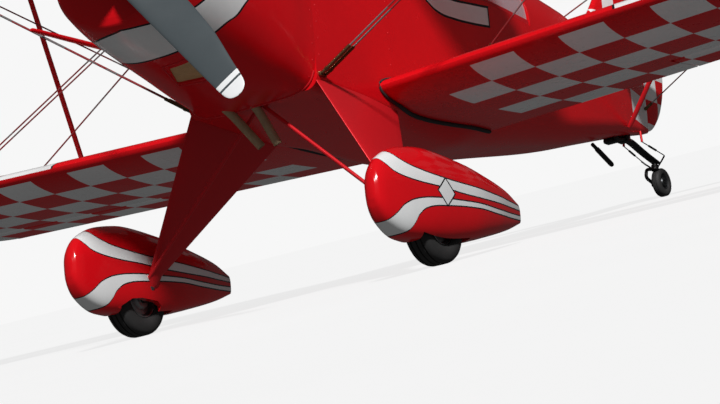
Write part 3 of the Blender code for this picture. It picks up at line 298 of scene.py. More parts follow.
def curve_at(xs, values, x):
    """Value at x of a monotone smooth curve through the points."""
    if x <= xs[0]:
        return values[0]
    if x >= xs[-1]:
        return values[-1]
    h = [b - a for a, b in zip(xs, xs[1:])]
    d = [(b - a) / step for a, b, step in zip(values, values[1:], h)]
    slopes = [d[0]]
    for i in range(1, len(h)):
        if d[i - 1] * d[i] <= 0:
            slopes.append(0.0)
        else:
            before = 2 * h[i] + h[i - 1]
            after = h[i] + 2 * h[i - 1]
            slopes.append((before + after) / (before / d[i - 1] + after / d[i]))
    slopes.append(d[-1])
    i = next(k for k in range(len(h)) if x <= xs[k + 1])
    t = (x - xs[i]) / h[i]
    return ((2 * t ** 3 - 3 * t ** 2 + 1) * values[i] + (t ** 3 - 2 * t ** 2 + t) * h[i] * slopes[i]
            + (3 * t ** 2 - 2 * t ** 3) * values[i + 1] + (t ** 3 - t ** 2) * h[i] * slopes[i + 1])


def row_at(table, y):
    """Every column of a station table at one Y."""
    columns = list(zip(*table))
    return [y] + [curve_at(columns[0], column, y) for column in columns[1:]]


def spread(table, count):
    """Evenly spaced places between the table's stations, which are kept."""
    places = []
    for low, high in zip(table, table[1:]):
        places += [low[0] + (high[0] - low[0]) * i / count for i in range(count)]
    return places + [table[-1][0]]


def half_thickness(fraction, chord=CHORD):
    """Half the wing section's thickness at a fraction of the chord."""
    s = min(max(fraction, 0.0), 1.0)
    shape = (0.2969 * math.sqrt(s) - 0.1260 * s - 0.3516 * s ** 2
             + 0.2843 * s ** 3 - 0.1015 * s ** 4)
    return max(5 * SECTION_THICKNESS * shape * chord, 0.003)


def section(x, le_y, z, chord, count=26):
    """One closed ring of the wing section in the plane at x."""
    steps = [0.5 * (1 - math.cos(math.pi * i / count)) for i in range(count + 1)]
    upper = [(x, le_y + s * chord, z + half_thickness(s, chord)) for s in steps[1:]]
    lower = [(x, le_y + s * chord, z - half_thickness(s, chord)) for s in reversed(steps[1:])]
    return [(x, le_y, z)] + upper + lower


def lower_wing_line(x):
    return LOWER_LE_Y, LOWER_ROOT_Z + abs(x) * math.tan(LOWER_DIHEDRAL)


def upper_wing_line(x):
    return UPPER_LE_Y + max(0.0, abs(x) - UPPER_SWEEP_START) * math.tan(UPPER_SWEEP), UPPER_Z


def tip_rows(half_span, line):
    """Places along the span, with leading edge, plane height and chord, out to the round tip."""
    table = [(-distance, back, cut) for distance, back, cut in TIP_STATIONS]
    rows = []
    for inboard in spread(table, 4):
        _, back, cut = row_at(table, inboard)
        x = half_span + inboard
        le_y, z = line(x)
        rows.append((x, le_y + back, z, CHORD - back - cut))
    return rows


def arc(width, height, count):
    """Quarter ellipse from the X axis up to the Z axis, without its last point."""
    return [(width * math.cos(math.pi / 2 * i / count), height * math.sin(math.pi / 2 * i / count))
            for i in range(count)]


def turns(count, offset=0.0):
    """Angles once round a circle."""
    return [2 * math.pi * (k + offset) / count for k in range(count)]


def squared(share, squareness):
    """A sine or cosine drawn out towards a rounded square."""
    return math.copysign(abs(share) ** (2 / squareness), share)


def fuselage_ring(y, inset=0.0, top=None):
    """Rounded below, arch above; or up to a flat top for the cockpit's hollow."""
    _, width, keel, longeron, deck, across, up = row_at(FUSELAGE_STATIONS, y)
    w = width - inset
    low = keel + inset if top is None else max(COCKPIT_FLOOR_Z, keel + inset)
    side = [(w - across * (1 - math.sin(math.pi / 2 * i / 8)),
             low + up * (1 - math.cos(math.pi / 2 * i / 8))) for i in range(9)]
    if top is not None:
        side += [(w, top)]
        ring = side + [(-x, z) for x, z in reversed(side)]
    else:
        side += [(x, longeron + z) for x, z in arc(w, deck - longeron, 18)]
        ring = side + [(0.0, deck)] + [(-x, z) for x, z in reversed(side)]
    return [(x, y, z) for x, z in ring]


def deck_height(y, x):
    _, w, _, longeron, deck, _, _ = row_at(FUSELAGE_STATIONS, y)
    return longeron + (deck - longeron) * math.sqrt(max(0.0, 1 - (x / w) ** 2))


def cowl_ring(y, width, bottom, top, squareness, inset=0.0, count=96):
    middle = (bottom + top) / 2
    w = width - inset
    h = (top - bottom) / 2 - inset
    return [(w * squared(math.cos(a), squareness), y,
             middle + h * squared(math.sin(a), squareness)) for a in turns(count, 0.5)]


def pant_ring(y, width, top, bottom, count=56):
    middle = top * 0.55 + bottom * 0.45
    ring = []
    for a in turns(count, 0.5):
        reach, squareness = (top - middle, 2.0) if math.sin(a) > 0 else (middle - bottom, 3.4)
        ring.append((AXLE_X + width * squared(math.cos(a), squareness), y,
                     middle + reach * squared(math.sin(a), squareness)))
    return ring


# Meshes

def skin(rings, closed=True):
    """Points and faces through a row of equal rings, capped at both ends."""
    count = len(rings[0])
    points = [p for ring in rings for p in ring]
    faces = []
    if closed:
        faces = [list(range(count)), [len(points) - count + i for i in range(count)]]
    for row in range(len(rings) - 1):
        for i in range(count):
            a = row * count + i
            b = row * count + (i + 1) % count
            faces.append([a, b, b + count, a + count])
    return points, faces


def turned(profile, count):
    """Ring of revolution about X from closed pairs of X and radius."""
    points = [(x, radius * math.cos(a), radius * math.sin(a))
              for x, radius in profile for a in turns(count)]
    faces = []
    for row in range(len(profile)):
        after = (row + 1) % len(profile)
        for i in range(count):
            j = (i + 1) % count
            faces.append([row * count + i, row * count + j, after * count + j, after * count + i])
    return points, faces


def direction_at(points, i):
    """Direction of a path at one of its points."""
    return (points[min(i + 1, len(points) - 1)] - points[max(i - 1, 0)]).normalized()


def bar_rings(path, radius, sides=16, flat=1.0):
    """Rings round a path; flat squeezes them along one cross direction."""
    points = [Vector(p) for p in path]
    radii = radius if isinstance(radius, (list, tuple)) else [radius] * len(points)
    rings = []
    for i, point in enumerate(points):
        along = direction_at(points, i)
        one = along.cross(Vector(BAR_CROSS)).normalized()
        two = along.cross(one)
        rings.append([point + one * math.cos(a) * radii[i] + two * math.sin(a) * radii[i] * flat
                      for a in turns(sides, 0.5)])
    return rings


def bar(path, radius, **choices):
    return skin(bar_rings(path, radius, **choices))


def prism(outline, low, high, axis):
    """Points and faces of an outline of pairs drawn along one axis."""
    def place(pair, along):
        point = list(pair)
        point.insert(axis, along)
        return point

    return skin([[place(pair, along) for pair in outline] for along in (low, high)])


def moved(shape, matrix):
    points, faces = shape
    return [matrix @ Vector(p) for p in points], faces


def joined(*shapes):
    points = []
    faces = []
    for more_points, more_faces in shapes:
        start = len(points)
        points += [tuple(p) for p in more_points]
        faces += [[start + i for i in face] for face in more_faces]
    return points, faces


def mirrored(shape):
    points, faces = shape
    return [(-p[0], p[1], p[2]) for p in points], faces


def mesh_object(name, shape, recalculate=True):
    """A plain object from level-frame points, placed by its mesh."""
    points, faces = shape
    mesh = bpy.data.meshes.new(name)
    mesh.from_pydata([LEVEL @ Vector(p) for p in points], [], faces)
    if recalculate:
        build = bmesh.new()
        build.from_mesh(mesh)
        bmesh.ops.recalc_face_normals(build, faces=build.faces)
        build.to_mesh(mesh)
        build.free()
    obj = bpy.data.objects.new(name, mesh)
    bpy.context.scene.collection.objects.link(obj)
    return obj


def carve(obj, shapes, operation="DIFFERENCE"):
    """Combine with helper shapes and bake the result."""
    helpers = []
    for i, shape in enumerate(shapes):
        helper = mesh_object(f"helper_{i}", shape)
        modifier = obj.modifiers.new(helper.name, "BOOLEAN")
        modifier.operation = operation
        modifier.solver = "EXACT"
        modifier.object = helper
        helpers.append(helper)
    bake(obj)
    for helper in helpers:
        bpy.data.objects.remove(helper, do_unlink=True)
    return obj


def bake(obj):
    """Apply what the modifiers make."""
    graph = bpy.context.evaluated_depsgraph_get()
    baked = bpy.data.meshes.new_from_object(obj.evaluated_get(graph))
    obj.modifiers.clear()
    obj.data = baked
    return obj


def settle(obj, body, finish_name, stands_for=(), slot=None, angle=30, bevel=0.0):
    """Finish a piece: edges, shading, material, body and what it stands for."""
    if bevel:
        modifier = obj.modifiers.new("edges", "BEVEL")
        modifier.width = bevel
        modifier.segments = 2
        modifier.limit_method = "ANGLE"
        modifier.angle_limit = math.radians(35)
        bake(obj)
    obj.data.shade_smooth()
    obj.data.set_sharp_from_angle(angle=math.radians(angle))
    obj.data.materials.clear()
    obj.data.materials.append(finish(finish_name))
    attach(obj, body)
    if stands_for:
        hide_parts(*([stands_for] if isinstance(stands_for, str) else stands_for))
    return obj


# Shader maths

class Value:
    """One shader socket, so that sums on it add their Math nodes."""

    def __init__(self, sheet, socket):
        self.sheet = sheet
        self.socket = socket

    def math(self, operation, *others):
        return self.sheet.node("ShaderNodeMath", {"operation": operation},
                               dict(enumerate((self,) + others)))

    def __add__(self, other):
        return self.math("ADD", other)

    def __sub__(self, other):
        return self.math("SUBTRACT", other)

    def __mul__(self, other):
        return self.math("MULTIPLY", other)

    def __truediv__(self, other):
        return self.math("DIVIDE", other)

    def __rsub__(self, other):
        return self.sheet.node("ShaderNodeMath", {"operation": "SUBTRACT"}, {0: other, 1: self})

    __radd__ = __add__
    __rmul__ = __mul__

    def above(self, edge):
        return self.math("GREATER_THAN", edge)

    def below(self, edge):
        return self.math("LESS_THAN", edge)

    def size(self):
        return self.math("ABSOLUTE")

    def least(self, other):
        return self.math("MINIMUM", other)

    def most(self, other):
        return self.math("MAXIMUM", other)

    def odd(self):
        """1 where the whole part is odd."""
        return self.math("FLOOR").math("MODULO", 2.0).size()

    def wave(self, pitch):
        """0 at every multiple of pitch, 1 half way between."""
        return (self * (math.pi / pitch)).math("SINE").size()

    def line(self, at, width):
        """1 within half a width of a place."""
        return (self - at).size().below(width / 2)


class Sheet:
    """A material being drawn: its nodes, places and colours."""

    def __init__(self, name):
        self.material = bpy.data.materials.new(name)
        self.material.use_nodes = True
        self.tree = self.material.node_tree
        self.shader = self.tree.nodes["Principled BSDF"]

    def node(self, kind, settings=None, links=None, output=0):
        made = self.tree.nodes.new(kind)
        for key, value in (settings or {}).items():
            setattr(made, key, value)
        for key, value in (links or {}).items():
            if isinstance(value, Value):
                self.tree.links.new(value.socket, made.inputs[key])
            else:
                made.inputs[key].default_value = value
        return Value(self, made.outputs[output])

    def places(self):
        """Object coordinates turned into the level frame: the vector, and X, Y and Z."""
        raw = self.node("ShaderNodeTexCoord", output=3)
        back = LEVEL.inverted()
        vector = self.node("ShaderNodeMapping", {"vector_type": "POINT"},
                           {0: raw, 1: back.translation, 2: back.to_euler()})
        split = self.tree.nodes.new("ShaderNodeSeparateXYZ")
        self.tree.links.new(vector.socket, split.inputs[0])
        return vector, *[Value(self, out) for out in split.outputs]

    def noise(self, vector, scale, detail=3.0, roughness=0.5, stretch=None):
        if stretch:
            vector = self.node("ShaderNodeMapping", {}, {0: vector, 3: stretch})
        return self.node("ShaderNodeTexNoise", {},
                         {"Vector": vector, "Scale": scale, "Detail": detail,
                          "Roughness": roughness})

    def mix(self, factor, first, second, blend="MIX"):
        return self.node("ShaderNodeMix", {"data_type": "RGBA", "blend_type": blend},
                         {0: factor, 6: first, 7: second}, output=2)

    def curve(self, x, table):
        """Smooth curve through pairs, as a Float Curve on a scaled place."""
        xs = [p[0] for p in table]
        zs = [p[1] for p in table]
        low, high, bottom, top = xs[0], xs[-1], min(zs), max(zs)
        made = self.tree.nodes.new("ShaderNodeFloatCurve")
        mapping = made.mapping
        line = mapping.curves[0]
        scaled = [((a - low) / (high - low), (b - bottom) / (top - bottom)) for a, b in table]
        line.points[0].location = scaled[0]
        line.points[1].location = scaled[-1]
        for pair in scaled[1:-1]:
            line.points.new(*pair)
        mapping.update()
        place = (x - low) * (1 / (high - low))
        self.tree.links.new(place.socket, made.inputs["Value"])
        return Value(self, made.outputs[0]) * (top - bottom) + bottom

    def bump(self, height, distance=0.001, strength=1.0, normal=None):
        links = {"Height": height, "Distance": distance, "Strength": strength}
        if normal is not None:
            links["Normal"] = normal
        return self.node("ShaderNodeBump", {}, links)

    def set(self, **sockets):
        """Values or links on the Principled shader, named with underscores for blanks."""
        for key, value in sockets.items():
            socket = self.shader.inputs[key.replace("_", " ")]
            if isinstance(value, Value):
                self.tree.links.new(value.socket, socket)
            else:
                socket.default_value = value
        return self.material


def colour(name):
    return (*getattr(bpy.context.scene.biplane_colours, name), 1.0)


def coat_of_paint(sheet, base, vector, height=None, roughness=0.24, coat=0.10, gleam=0.25):
    """Glossy paint: base colour with faint drift, dust and orange peel."""
    drift = sheet.noise(vector, 2.3, 4.0)
    mottle = sheet.noise(vector, 34.0, 3.0)
    shade = drift * 0.16 + mottle * 0.07 + 0.885
    grey = sheet.node("ShaderNodeCombineColor", {}, {0: shade, 1: shade, 2: shade})
    base = sheet.mix(1.0, base, grey, "MULTIPLY")
    scuff = sheet.noise(vector, 9.0, 6.0, 0.65)
    gloss = scuff * 0.16 + (roughness - 0.07)
    peel = sheet.noise(vector, 420.0, 1.0) * 0.05
    bumps = sheet.bump(peel if height is None else height + peel, 0.001, 0.55)
    return sheet.set(Base_Color=base, Roughness=gloss, Normal=bumps, Coat_Weight=coat,
                     Coat_Roughness=0.06, Specular_IOR_Level=gleam)


def red_paint(sheet):
    vector, _, _, _ = sheet.places()
    tint = sheet.noise(vector, 5.5, 2.0) * 0.01
    return coat_of_paint(sheet, sheet.mix(tint, colour("red"), colour("white")), vector)


def outlined(sheet, figure, edged):
    """Red with a white figure inside a black edge."""
    return sheet.mix(figure, sheet.mix(edged, colour("red"), colour("black")), colour("white"))


def squares_of(first, second):
    """0 and 1 by turns over a grid of two places, each counted in squares."""
    return (first.math("FLOOR") + second.math("FLOOR")).math("MODULO", 2.0).size()


def fuselage_paint(sheet):
    """Red with a white black-edged band along each side, and checkers at the tail."""
    vector, _, y, z = sheet.places()
    top = sheet.curve(y, SIDE_EDGES["top"])
    bottom = sheet.curve(y, SIDE_EDGES["bottom"])

    def bands(edge):
        """The side band and its twin above it, grown by an edge."""
        return (z.below(top + edge) * z.above(bottom - edge)).most(
            z.below(top + SECOND_BAND_RISE + edge) * z.above(bottom + SECOND_BAND_RISE - edge))

    band = bands(0.0) * y.above(0.61) * y.below(SIDE_BAND_END) * z.below(0.42)
    wide = bands(0.012) * y.above(0.60) * y.below(SIDE_BAND_END + 0.012) * z.below(0.43)
    behind = z.above(0.112) * ((y - 3.25) * 0.62 + (z - 0.20) * 0.78).above(0.0) * z.below(0.45)
    squares = squares_of((y - 3.70) / 0.30, (z - 0.120) / 0.165).above(0.5)
    base = outlined(sheet, band.most(behind * squares), wide)
    seams = y.line(0.62, 0.004).most(y.line(0.006, 0.004)).most(
        z.line(0.155, 0.004) * y.below(0.62))
    stringers = z.wave(0.105) * y.above(1.02) * 0.9
    return coat_of_paint(sheet, base, vector, stringers * 0.8 - seams * 1.2)


def cowl_paint(sheet):
    """Red with a swept white band round the nose, black-edged, and panel seams."""
    vector, x, y, z = sheet.places()
    angle = x.size().math("ARCTAN2", (z + 0.09) * -1.0) * (180 / math.pi)
    front = sheet.curve(angle, COWL_BAND_FRONT)
    back = sheet.curve(angle, COWL_BAND_BACK)
    edge = 0.011
    band = y.above(front) * y.below(back)
    wide = y.above(front - edge) * y.below(back + edge)
    base = outlined(sheet, band, wide)
    seams = z.line(-0.02, 0.003).most(y.line(-0.30, 0.003) * z.below(-0.02))
    return coat_of_paint(sheet, base, vector, seams * -1.2, roughness=0.2)


def wing_paint(sheet, lower=True):
    """Checkered below, red above, with rib tapes and a plain leading edge."""
    vector, x, y, z = sheet.places()
    across = x.size()
    if lower:
        plane = across * math.tan(LOWER_DIHEDRAL) + LOWER_ROOT_Z
        aft = y - LOWER_LE_Y
    else:
        plane = UPPER_Z
        aft = y - UPPER_LE_Y - (across - UPPER_SWEEP_START).most(0.0) * math.tan(UPPER_SWEEP)
    under = z.below(plane)
    column = (across - CHECK_START) / CHECK_PITCH
    row = aft.above(CHECK_ROWS[1])
    for start in CHECK_ROWS[2:]:
        row = row + aft.above(start)
    parity = (column.math("FLOOR") + row + 1.0).math("MODULO", 2.0).size().below(0.5)
    checks = parity * across.above(CHECK_START) * aft.above(CHECK_ROWS[0]) * under
    over = 1.0 - under
    stripe = aft * 0.55 + across - 1.72
    fine = stripe - 0.30
    band = stripe.size().below(0.17).most(fine.size().below(0.035)) * over
    wide = stripe.size().below(0.182).most(fine.size().below(0.047)) * over
    base = outlined(sheet, band.most(checks), wide)
    ribs = (across - 0.02).wave(RIB_PITCH)
    tapes = ribs.below(0.13) * aft.above(0.10)
    sag = ribs * aft.above(0.10) * -1.6
    return coat_of_paint(sheet, base, vector, sag + tapes * 0.25, roughness=0.27)


def upper_wing_paint(sheet):
    return wing_paint(sheet, lower=False)


def pant_paint(sheet):
    """Red with two white black-edged bands round the nose, and a diamond outboard."""
    vector, x, y, z = sheet.places()
    edge = 0.006
    bands = []
    wide_bands = []
    for name in ("upper", "lower"):
        top = sheet.curve(y, PANT_EDGES[name + "_top"])
        bottom = sheet.curve(y, PANT_EDGES[name + "_bottom"])
        bands.append(z.below(top) * z.above(bottom))
        wide_bands.append(z.below(top + edge) * z.above(bottom - edge))
    outboard = x.size().above(AXLE_X)
    lozenge = (y - 0.052).size() + (z + 1.046).size()
    diamond = lozenge.below(0.056) * outboard
    wide_diamond = lozenge.below(0.066) * outboard
    white = (bands[0].most(bands[1]) * (1.0 - wide_diamond)).most(diamond)
    dark = wide_bands[0].most(wide_bands[1]).most(wide_diamond)
    return coat_of_paint(sheet, outlined(sheet, white, dark), vector, roughness=0.16, coat=0.6)


def ribbed_paint(sheet, base, vector, along):
    """Paint over doped fabric, with rib tapes and a slight sag between the ribs."""
    ribs = along.wave(RIB_PITCH)
    return coat_of_paint(sheet, base, vector, ribs.below(0.12) * 0.25 - ribs * 0.9, roughness=0.27)


def tail_paint(sheet):
    """Checkers on the fin and rudder."""
    vector, _, y, z = sheet.places()
    squares = squares_of((y - 3.70) / 0.130, (z - 0.030) / 0.135).below(0.5)
    return ribbed_paint(sheet, sheet.mix(squares, colour("red"), colour("white")), vector, z)


def tailplane_paint(sheet):
    """Red with a white black-edged band towards each tip."""
    vector, x, y, _ = sheet.places()
    place = ((x.size() - 0.80) + (y - ELEVATOR_HINGE_Y) * 0.4).size()
    return ribbed_paint(sheet, outlined(sheet, place.below(0.072), place.below(0.082)), vector,
                        x.size())


def blade_paint(sheet):
    """Satin grey blade with a white tip crossed by a dark stripe."""
    vector, x, _, z = sheet.places()
    out = (x * x + z * z).math("SQRT")
    white = out.above(0.918) * (1.0 - out.line(0.948, 0.010))
    base = sheet.mix(white, colour("blade_grey"), colour("white"))
    worn = sheet.noise(vector, 30.0, 6.0, 0.7)
    base = sheet.mix(worn.above(0.74) * 0.35, base, (0.30, 0.30, 0.31, 1.0))
    return coat_of_paint(sheet, base, vector, roughness=0.34, coat=0.1)


def metal(sheet, base, roughness, stretch, grain):
    """Bare metal with a grain, fine streaks and stains."""
    vector, _, _, _ = sheet.places()
    streak = sheet.noise(vector, grain, 4.0, 0.6, stretch)
    stain = sheet.noise(vector, 12.0, 5.0)
    dark = tuple(c * 0.62 for c in base[:3]) + (1.0,)
    shade = sheet.mix(stain * 0.55 + streak * 0.25 - 0.08, base, dark)
    return sheet.set(Base_Color=shade, Metallic=1.0, Roughness=streak * 0.22 + (roughness - 0.08),
                     Normal=sheet.bump(streak, 0.0004, 0.35))


# Metals: base colour, roughness, stretch of the grain, fineness of the grain
METALS = {
    "steel": ((0.56, 0.57, 0.58, 1.0), 0.30, (1, 1, 8), 160.0),
    "cast_alloy": ((0.66, 0.66, 0.67, 1.0), 0.38, None, 160.0),
    "dark_alloy": ((0.13, 0.135, 0.14, 1.0), 0.40, None, 160.0),
    "engine_metal": ((0.30, 0.29, 0.27, 1.0), 0.55, None, 60.0),
    "wire_brown": ((0.24, 0.155, 0.075, 1.0), 0.42, None, 90.0),
}


def exhaust_metal(sheet):
    """Heat-browned steel, paler and bluer toward the ends."""
    vector, _, _, _ = sheet.places()
    heat = sheet.noise(vector, 26.0, 5.0, 0.65)
    soot = sheet.noise(vector, 90.0, 3.0)
    base = sheet.mix(heat, (0.34, 0.22, 0.11, 1.0), (0.58, 0.44, 0.26, 1.0))
    base = sheet.mix(soot * 0.4, base, (0.13, 0.10, 0.07, 1.0))
    return sheet.set(Base_Color=base, Metallic=0.15, Roughness=heat * 0.25 + 0.38,
                     Normal=sheet.bump(soot, 0.0006, 0.4))


def black_paint(sheet):
    vector, _, _, _ = sheet.places()
    wear = sheet.noise(vector, 60.0, 5.0, 0.6)
    base = sheet.mix(wear.above(0.70) * 0.4, (0.012, 0.012, 0.013, 1.0), (0.10, 0.10, 0.10, 1.0))
    return sheet.set(Base_Color=base, Roughness=wear * 0.3 + 0.28,
                     Normal=sheet.bump(wear, 0.0005, 0.3))


def rubber(sheet):
    """Matt tyre rubber, dustier on the tread."""
    vector, _, _, _ = sheet.places()
    fine = sheet.noise(vector, 260.0, 3.0)
    dust = sheet.noise(vector, 14.0, 5.0, 0.6)
    base = sheet.mix(dust * 0.7, (0.012, 0.012, 0.013, 1.0), (0.048, 0.046, 0.044, 1.0))
    return sheet.set(Base_Color=base, Roughness=fine * 0.2 + 0.62,
                     Normal=sheet.bump(fine, 0.0006, 0.5))


def glazing(sheet):
    """Clear acrylic with faint smears."""
    vector, _, _, _ = sheet.places()
    smear = sheet.noise(vector, 7.0, 5.0, 0.6)
    return sheet.set(Base_Color=(0.93, 0.96, 0.97, 1.0), Roughness=smear * 0.10 + 0.01,
                     Alpha=smear * 0.10 + 0.17, IOR=1.49, Specular_IOR_Level=0.8)


def panel_black(sheet):
    vector, _, _, _ = sheet.places()
    crinkle = sheet.noise(vector, 700.0, 2.0)
    base = sheet.mix(crinkle * 0.5, (0.014, 0.014, 0.015, 1.0), (0.04, 0.04, 0.042, 1.0))
    return sheet.set(Base_Color=base, Roughness=crinkle * 0.2 + 0.5,
                     Normal=sheet.bump(crinkle, 0.0005, 0.6))


def pad_leather(sheet):
    """Dark leather with grain, creases and lines of stitches beside the sewn channels."""
    vector, x, _, _ = sheet.places()
    pitch = 2 * SEAT_HALF_WIDTH / PAD_CHANNELS
    across = (x + SEAT_HALF_WIDTH) / pitch
    beside = (across.math("FRACT") - 0.5).size().line(0.43, 0.030)
    along = sheet.noise(vector, 260.0, 0.0).above(0.5)
    stitch = beside * along
    grain = sheet.node("ShaderNodeTexVoronoi", {}, {"Vector": vector, "Scale": 420.0})
    crease = sheet.noise(vector, 26.0, 6.0)
    tone = sheet.noise(vector, 8.0, 4.0)
    base = sheet.mix(tone, (0.030, 0.024, 0.020, 1.0), (0.085, 0.068, 0.055, 1.0))
    base = sheet.mix(stitch, base, (0.30, 0.26, 0.20, 1.0))
    return sheet.set(Base_Color=base, Roughness=crease * 0.25 + 0.38,
                     Normal=sheet.bump(grain * 0.4 + crease * 0.8 + stitch, 0.0008, 0.7))


def webbing(sheet):
    """Woven harness strap: fine diagonal ribs and a paler edge."""
    vector, x, y, z = sheet.places()
    weave = (y + z + x).wave(0.0022) * (y - z).wave(0.0030)
    tone = sheet.noise(vector, 14.0, 3.0)
    base = sheet.mix(weave * 0.6 + tone * 0.2, (0.020, 0.022, 0.026, 1.0),
                     (0.075, 0.080, 0.090, 1.0))
    return sheet.set(Base_Color=base, Roughness=0.78, Sheen_Weight=0.3,
                     Normal=sheet.bump(weave, 0.0006, 0.8))


def dial_face(sheet):
    """Black dial with white ticks and a needle, repeated at the panel's pitch."""
    _, x, _, z = sheet.places()
    across = (x + DIAL_PITCH * 4.5).math("MODULO", DIAL_PITCH) - DIAL_PITCH / 2
    upward = (z - DIAL_ROWS[0] + DIAL_PITCH * 4.5).math("MODULO", DIAL_PITCH) - DIAL_PITCH / 2
    reach = (across * across + upward * upward).math("SQRT")
    angle = across.math("ARCTAN2", upward)
    ticks = angle.wave(math.radians(30)).below(0.16) * reach.above(0.025) * reach.below(0.032)
    needle = (angle - (x * 17.0).math("FLOOR") * 0.9).line(0.5, 0.14) * reach.below(0.024)
    marks = ticks.most(needle).most(reach.below(0.004))
    base = sheet.mix(marks, (0.012, 0.012, 0.013, 1.0), (0.75, 0.75, 0.72, 1.0))
    return sheet.set(Base_Color=base, Roughness=reach * 2.0 + 0.12, Coat_Weight=0.4)


def wire_red(sheet):
    """Streamline wire in chipped dark red over steel."""
    vector, _, _, _ = sheet.places()
    # Slow noise along the wire that paints long grey reflections of the sky
    bands = sheet.noise(vector, 3.2, 2.0)
    chips = sheet.noise(vector, 55.0, 4.0, 0.6)
    # Grey metallic patches: mostly painted sky reflections from the slow noise, with small chips at
    # their edges
    sky_reflection_and_chips = (bands + chips * 0.08).above(0.57)
    base = sheet.mix(sky_reflection_and_chips, (0.26, 0.030, 0.034, 1.0), (0.30, 0.29, 0.29, 1.0))
    return sheet.set(Base_Color=base, Metallic=sky_reflection_and_chips * 0.6,
                     Roughness=chips * 0.2 + 0.30, Normal=sheet.bump(chips, 0.0003, 0.3))


def javelin_paint(sheet):
    """Red bar with a pale rear end."""
    vector, _, y, _ = sheet.places()
    return coat_of_paint(sheet, sheet.mix(y.above(0.94), colour("red"), colour("white")), vector)


def strut_paint(sheet):
    """Plain red fairing."""
    vector, _, _, _ = sheet.places()
    return coat_of_paint(sheet, colour("red"), vector)


def filter_mesh(sheet):
    """Oiled foam filter behind a fine grid."""
    vector, x, y, _ = sheet.places()
    wires = x.wave(0.006).below(0.28).most(y.wave(0.006).below(0.28))
    stain = sheet.noise(vector, 45.0, 4.0)
    base = sheet.mix(wires, (0.62, 0.36, 0.15, 1.0), (0.78, 0.50, 0.24, 1.0))
    base = sheet.mix(stain * 0.5, base, (0.30, 0.18, 0.08, 1.0))
    return sheet.set(Base_Color=base, Roughness=stain * 0.2 + 0.5,
                     Normal=sheet.bump(wires, 0.001, 0.6))


FINISHES = {drawn.__name__: drawn for drawn in (
    red_paint, fuselage_paint, cowl_paint, wing_paint, upper_wing_paint, pant_paint, tail_paint,
    tailplane_paint, blade_paint, javelin_paint, strut_paint, black_paint, panel_black,
    exhaust_metal, wire_red, filter_mesh, rubber, glazing, pad_leather, webbing, dial_face)}
FINISHES["seal_rubber"] = rubber


def finish(name):
    """The named material, drawn the first time it is asked for."""
    if name in bpy.data.materials:
        return bpy.data.materials[name]
    sheet = Sheet(name)
    return metal(sheet, *METALS[name]) if name in METALS else FINISHES[name](sheet)


def dress(finish_name, node):
    """Give a CAD node a drawn material."""
    for slot in frame["nodes"][node].material_slots:
        slot.material = finish(finish_name)


def model(name, shape, body, finish_name, stands_for=(), slot=None, **edges):
    """A finished piece straight from its points and faces."""
    return settle(mesh_object(name, shape), body, finish_name, stands_for, slot, **edges)


def block(low, high):
    """Box between two corners."""
    (x0, y0, z0), (x1, y1, z1) = low, high
    return prism(((x0, y0), (x1, y0), (x1, y1), (x0, y1)), z0, z1, 2)


def both_halves(half):
    """A half profile of X and radius, carried on to its mirror image."""
    return [*half, *[(-x, radius) for x, radius in reversed(half)]]


# Pieces

def build_fuselage():
    """Skin with the cockpit's hollow and a trough for each exhaust pipe."""
    rings = [fuselage_ring(y) for y in spread(FUSELAGE_STATIONS, 6)]
    hull = mesh_object("fuselage_skin", skin(rings))
    well = skin([fuselage_ring(y, WALL, WELL_TOP_Z) for y in WELL_STATIONS])
    mouth = block((-MOUTH_HALF_WIDTH, COCKPIT_FRONT_Y + 0.02, 0.10),
                  (MOUTH_HALF_WIDTH, COCKPIT_BACK_Y - 0.05, ABOVE_DECK_Z))
    above = block((-0.5, COCKPIT_FRONT_Y, SILL_Z), (0.5, COCKPIT_BACK_Y, ABOVE_DECK_Z))
    troughs = [bar(exhaust_path(*row), EXHAUST_RADIUS + TROUGH_GAP, sides=20)
               for row in EXHAUSTS.values()]
    carve(hull, [well, mouth, above, *troughs])
    settle(hull, "airframe", "fuselage_paint", "fuselage", "red_paint")


def hole(x, z, radius, front, back, sides=40):
    return bar([(x, front, z), (x, back, z)], radius, sides=sides)


def build_cowl():
    """Hollow cowl with its openings, the scoop's filter and rim, and the bead on its rear lip."""
    stations = [row_at(COWL_STATIONS, y) for y in spread(COWL_STATIONS, 5)]
    cowl = mesh_object("cowl_skin", skin([cowl_ring(*s) for s in stations]))
    inner = [cowl_ring(*s, inset=COWL_SHELL) for s in stations[10:-1]]
    last = stations[-1]
    inner.append(cowl_ring(last[0] + 0.02, *last[1:], inset=COWL_SHELL))
    carve(cowl, [skin(inner), *[hole(*row, -1.0, -0.8) for row in NOSE_HOLES],
                 prism(rounded(SCOOP, 0.012), -0.50, -0.33, 2)])
    settle(cowl, "airframe", "cowl_paint", "engine_cowl", "red_paint")
    tray = [[(x, y, scoop_height(x, y) + depth) for x, y in SCOOP] for depth in (0.006, 0.012)]
    model("scoop_filter", skin(tray), "airframe", "filter_mesh")
    rims = []
    for (ax, ay), (bx, by) in zip(SCOOP_RIM, SCOOP_RIM[1:] + SCOOP_RIM[:1]):
        steps = [(ax + (bx - ax) * k / 6, ay + (by - ay) * k / 6) for k in range(7)]
        rims.append(bar([(x, y, scoop_height(x, y) + 0.001) for x, y in steps], 0.004, sides=12))
    model("scoop_rim", joined(*rims), "airframe", "red_paint", angle=50)
    lip = [Vector((x, -0.006, z)) for x, _, z in cowl_ring(*COWL_STATIONS[-1]) if z < LIP_TOP_Z]
    lip.sort(key=lambda p: math.atan2(p.x, -p.z))
    model("cowl_rear_bead", bar(lip, 0.0045, sides=10), "airframe", "red_paint", angle=60)


def scoop_height(x, y):
    """Height of the cowl's underside at a place."""
    _, width, bottom, top, squareness = row_at(COWL_STATIONS, y)
    middle = (bottom + top) / 2
    share = 1 - (abs(x) / width) ** squareness
    return middle - (top - bottom) / 2 * share ** (1 / squareness)


